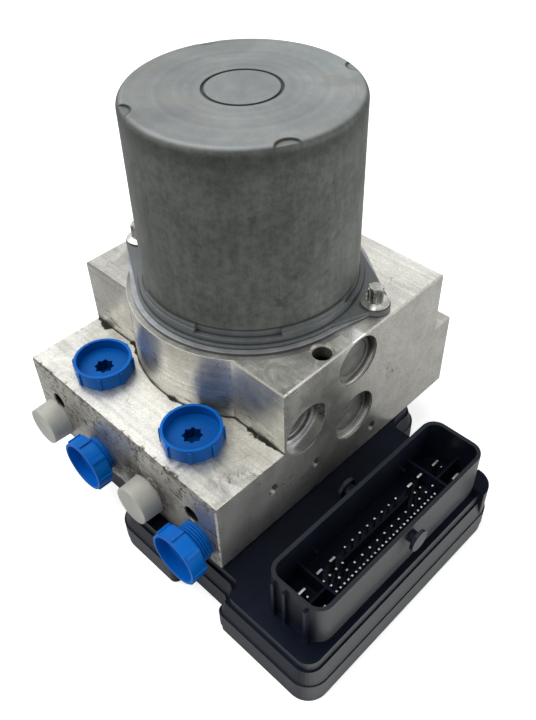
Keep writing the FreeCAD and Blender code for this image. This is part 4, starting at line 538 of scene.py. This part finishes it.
def blue_plastic():
    """Plug plastic, with painted shade in the two cups on the shelf, on their faces above the shelf
    that do not face up, and in their star recesses.
    """
    s, colour = moulded("blue_plastic_look", (0.0, 0.115, 0.475), (0.0, 0.155, 0.610), 0.36,
                        1500.0, 0.03 * MM, 0.3 * MM, 0.13)
    above_shelf = s.band(s.z, SHELF - 1.0 * MM, SHELF)
    cup = s.both(s.band(s.z, SHELF + 5.0 * MM, SHELF + 4.0 * MM), above_shelf)
    low = s.both(above_shelf, s.band(s.facing_z, 0.5, 0.1))
    # Painted shade in the cups and on the faces above the shelf that do not face up.
    colour = s.shaded(colour, s.either(cup, low), 1.0, 0.72)
    star = s.both(s.band(s.distance(s.gap(s.x), s.y, INLET_X, INLET_Y), 5.6 * MM, 5.2 * MM),
                  s.band(s.z, STAR_TOP, STAR_TOP - 0.4 * MM),
                  s.band(s.z, SHELF - 4.0 * MM, SHELF - 3.0 * MM))
    # Painted shade in the star recesses.
    colour = s.shaded(colour, star, 1.0, 0.42)
    scuff = s.both(s.band(s.noise(520.0, 6.0, 0.75), 0.60, 0.70), 0.22)
    s.set(Base_Color=s.mix(scuff, colour, (0.10, 0.34, 0.76)))
    return s.material


def windings_copper():
    """Enamelled wire laid side by side."""
    s = Surface("windings_look")
    strands = s.noise(500.0, 3.0, 0.6, 1.5)
    s.set(Base_Color=s.mix(strands, (0.30, 0.09, 0.03), (0.62, 0.24, 0.09)), Metallic=0.7,
          Roughness=0.34)
    s.relief(strands, 0.15 * MM, 0.2 * MM)
    return s.material


LOOKS = {
    "block_aluminium": block_aluminium(),
    "motor_zinc": motor_zinc(),
    "plate_zinc": plate_zinc(),
    "plug_steel": turned_caps(),
    "black_plastic": black_plastic(),
    "blue_plastic": blue_plastic(),
    "white_plastic": white_plastic(),
    "copper_wire": windings_copper(),
    # The screws and pins get painted shade on their upright faces.
    "screw_zinc": bright_metal("screw_look", (0.36, 0.36, 0.33), (0.64, 0.64, 0.61), 0.20,
                               side=0.45),
    "tinned_contact": bright_metal("pin_look", (0.36, 0.37, 0.38), (0.58, 0.59, 0.60), 0.20,
                                   0.12 * MM, side=0.22),
    "bronze": bright_metal("bronze_look", (0.30, 0.17, 0.06), (0.45, 0.27, 0.11), 0.45),
    "bright_steel": bright_metal("steel_look", (0.46, 0.46, 0.47), (0.62, 0.62, 0.63), 0.22),
    "spring_steel": bright_metal("spring_look", (0.26, 0.27, 0.28), (0.40, 0.41, 0.42), 0.3),
    "contact_brass": bright_metal("brass_look", (0.50, 0.31, 0.10), (0.66, 0.44, 0.18), 0.28),
    "piston_aluminium": bright_metal("piston_look", (0.42, 0.43, 0.44), (0.56, 0.57, 0.58), 0.3),
    "core_steel": bright_metal("core_look", (0.10, 0.10, 0.105), (0.18, 0.18, 0.185), 0.4),
    "black_rubber": plain("rubber_look", (0.010, 0.010, 0.010), (0.020, 0.020, 0.020), 0.7,
                          900.0, 0.03 * MM, 0.2 * MM, 0.3),
    "ferrite": plain("ferrite_look", (0.020, 0.020, 0.022), (0.042, 0.042, 0.046), 0.6,
                     700.0, 0.04 * MM, 0.3 * MM),
    "brown_plastic": plain("brown_plastic_look", (0.020, 0.012, 0.007), (0.038, 0.024, 0.014),
                           0.5, 1200.0, 0.03 * MM, 0.3 * MM),
    "carbon": plain("carbon_look", (0.010, 0.010, 0.010), (0.024, 0.024, 0.024), 0.55,
                    1500.0, 0.03 * MM, 0.2 * MM),
    "coil_plastic": plain("coil_plastic_look", (0.012, 0.012, 0.014), (0.022, 0.022, 0.025),
                          0.45, 1500.0, 0.03 * MM, 0.3 * MM),
    "board_green": plain("board_look", (0.008, 0.055, 0.020), (0.014, 0.085, 0.032), 0.35,
                         600.0, 0.03 * MM, 0.1 * MM),
    "component_black": plain("component_look", (0.010, 0.010, 0.010), (0.020, 0.020, 0.020),
                             0.45, 1500.0, 0.02 * MM, 0.2 * MM),
}


def dress(frame):
    """Every CAD node gets the look of its material slot."""
    slots = {part["node"]: part["material_slot"] for part in frame["record"]["subparts"]}
    for name, piece in frame["nodes"].items():
        piece.data.materials.clear()
        piece.data.materials.append(LOOKS[slots[name]])


# Thread turns on the front plugs, and the accumulator springs

def wound(name, sections, look):
    """A smooth solid through a row of sections with equal numbers of points, closed at its ends."""
    form = bmesh.new()
    rings = [[form.verts.new(point) for point in section] for section in sections]
    for first, second in zip(rings, rings[1:]):
        for k in range(len(first)):
            after = (k + 1) % len(first)
            form.faces.new((first[k], first[after], second[after], second[k]))
    form.faces.new(rings[0])
    form.faces.new(rings[-1][::-1])
    bmesh.ops.recalc_face_normals(form, faces=form.faces[:])
    mesh = bpy.data.meshes.new(name)
    form.to_mesh(mesh)
    form.free()
    mesh.materials.append(LOOKS[look])
    for face in mesh.polygons:
        face.use_smooth = True
    piece = bpy.data.objects.new(name, mesh)
    bpy.context.scene.collection.objects.link(piece)
    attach(piece, "module")
    return piece


def thread(side, centre_x, length):
    """A helical ridge round a plug's neck, from the port face outwards."""
    root, height = PORT_RADIUS + 0.6 * MM, 0.5 * MM
    pitch, steps = 1.25 * MM, 36
    count = int(length / pitch * steps)
    sections = []
    for n in range(count + 1):
        angle = 2.0 * math.pi * n / steps
        along = pitch * 0.5 + (length - pitch) * n / count
        fade = min(1.0, n / 10.0, (count - n) / 10.0)
        section = []
        for out, shift in ((-0.2, -0.5), (fade, -0.12), (fade, 0.12), (-0.2, 0.5)):
            reach = root + height * out
            section.append((centre_x + reach * math.cos(angle),
                            BLOCK_FRONT - along - shift * pitch,
                            PORT_Z + reach * math.sin(angle)))
        sections.append(section)
    wound(f"port_plug_{side}_thread", sections, "blue_plastic")


def accumulator_spring(side, sign):
    """A round-wire spring with closed ends."""
    turns, steps, corners = 6, 40, 10
    half_wire = SPRING_WIRE / 2
    wound_length = SPRING_SEAT - SPRING_START - SPRING_WIRE
    closed = SPRING_WIRE / wound_length
    sections = []
    for n in range(turns * steps + 1):
        turn = n / steps
        end_share = closed * (min(turn, 1.0) + max(0.0, turn - turns + 1.0))
        open_share = min(max(turn - 1.0, 0.0), turns - 2.0) / (turns - 2.0)
        share = end_share + open_share * (1.0 - 2.0 * closed)
        along = SPRING_START + half_wire + wound_length * share
        angle = 2.0 * math.pi * turn
        section = []
        for k in range(corners):
            about = 2.0 * math.pi * k / corners
            reach = SPRING_RADIUS + half_wire * math.cos(about)
            section.append((sign * (along + half_wire * math.sin(about)),
                            reach * math.cos(angle), ACCUMULATOR_Z + reach * math.sin(angle)))
        sections.append(section)
    piece = wound(f"accumulator_spring_{side}_wire", sections, "spring_steel")
    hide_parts(f"accumulator_spring_{side}")
    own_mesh(piece)


# Floor, light and camera

def floor():
    """A pale floor under the object, which keeps its shadow."""
    s = Surface("floor_look")
    camera_ray = s.add("ShaderNodeLightPath").outputs["Is Camera Ray"]
    s.set(Base_Color=s.mix(camera_ray, (0.62, 0.62, 0.62), (0.86, 0.86, 0.86)), Roughness=0.9,
          Emission_Color=(1.0, 1.0, 1.0), Emission_Strength=s.both(camera_ray, 0.60))
    bpy.ops.mesh.primitive_plane_add(size=6.0, location=(0.0, 0.0, 0.0))
    plane = bpy.context.object
    plane.name = "floor"
    plane.data.materials.append(s.material)


def world():
    """White where the camera, gloss or glass looks; a soft even level for the lighting."""
    backdrop = bpy.data.worlds.new("studio")
    bpy.context.scene.world = backdrop
    backdrop.use_nodes = True
    tree = backdrop.node_tree
    path = tree.nodes.new("ShaderNodeLightPath")
    seen = path.outputs["Is Camera Ray"]
    for name in ("Is Glossy Ray", "Is Transmission Ray"):
        step = tree.nodes.new("ShaderNodeMath")
        step.operation = "MAXIMUM"
        tree.links.new(seen, step.inputs[0])
        tree.links.new(path.outputs[name], step.inputs[1])
        seen = step.outputs[0]
    level = tree.nodes.new("ShaderNodeMapRange")
    level.inputs["To Min"].default_value = 0.24
    level.inputs["To Max"].default_value = 1.0
    tree.links.new(seen, level.inputs["Value"])
    background = tree.nodes["Background"]
    background.inputs["Color"].default_value = (1.0, 1.0, 1.0, 1.0)
    tree.links.new(level.outputs["Result"], background.inputs["Strength"])


def lamp(name, place, aim, size, watts):
    """A round soft light that looks at a point."""
    data = bpy.data.lights.new(name, "AREA")
    data.shape = "DISK"
    data.size = size
    data.energy = watts
    light = bpy.data.objects.new(name, data)
    bpy.context.scene.collection.objects.link(light)
    light.location = place
    light.rotation_euler = (Vector(aim) - Vector(place)).to_track_quat("-Z", "Y").to_euler()


def camera():
    """The photograph's viewpoint."""
    data = bpy.data.cameras.new("camera")
    data.lens = LENS
    data.sensor_width = 36.0
    data.clip_start = 0.01
    view = bpy.data.objects.new("camera", data)
    bpy.context.scene.collection.objects.link(view)
    axes = Matrix((RIGHT, -DOWN, -FORWARD)).transposed().to_4x4()
    view.matrix_world = Matrix.Translation(EYE) @ axes
    bpy.context.scene.camera = view


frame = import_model()
dress(frame)
thread("left", centre_x=-0.5 * PORT_SPACING, length=3.3 * MM)
thread("right", centre_x=1.5 * PORT_SPACING, length=5.9 * MM)
accumulator_spring("left", sign=-1.0)
accumulator_spring("right", sign=1.0)
floor()
world()
lamp("key", place=(-0.40, -0.35, 0.95), aim=(0.0, 0.0, 0.05), size=1.5, watts=13.0)
lamp("rim", place=(0.80, 0.45, 0.35), aim=(0.0, 0.0, 0.06), size=0.8, watts=4.0)
camera()
bpy.context.scene.view_settings.view_transform = "Standard"
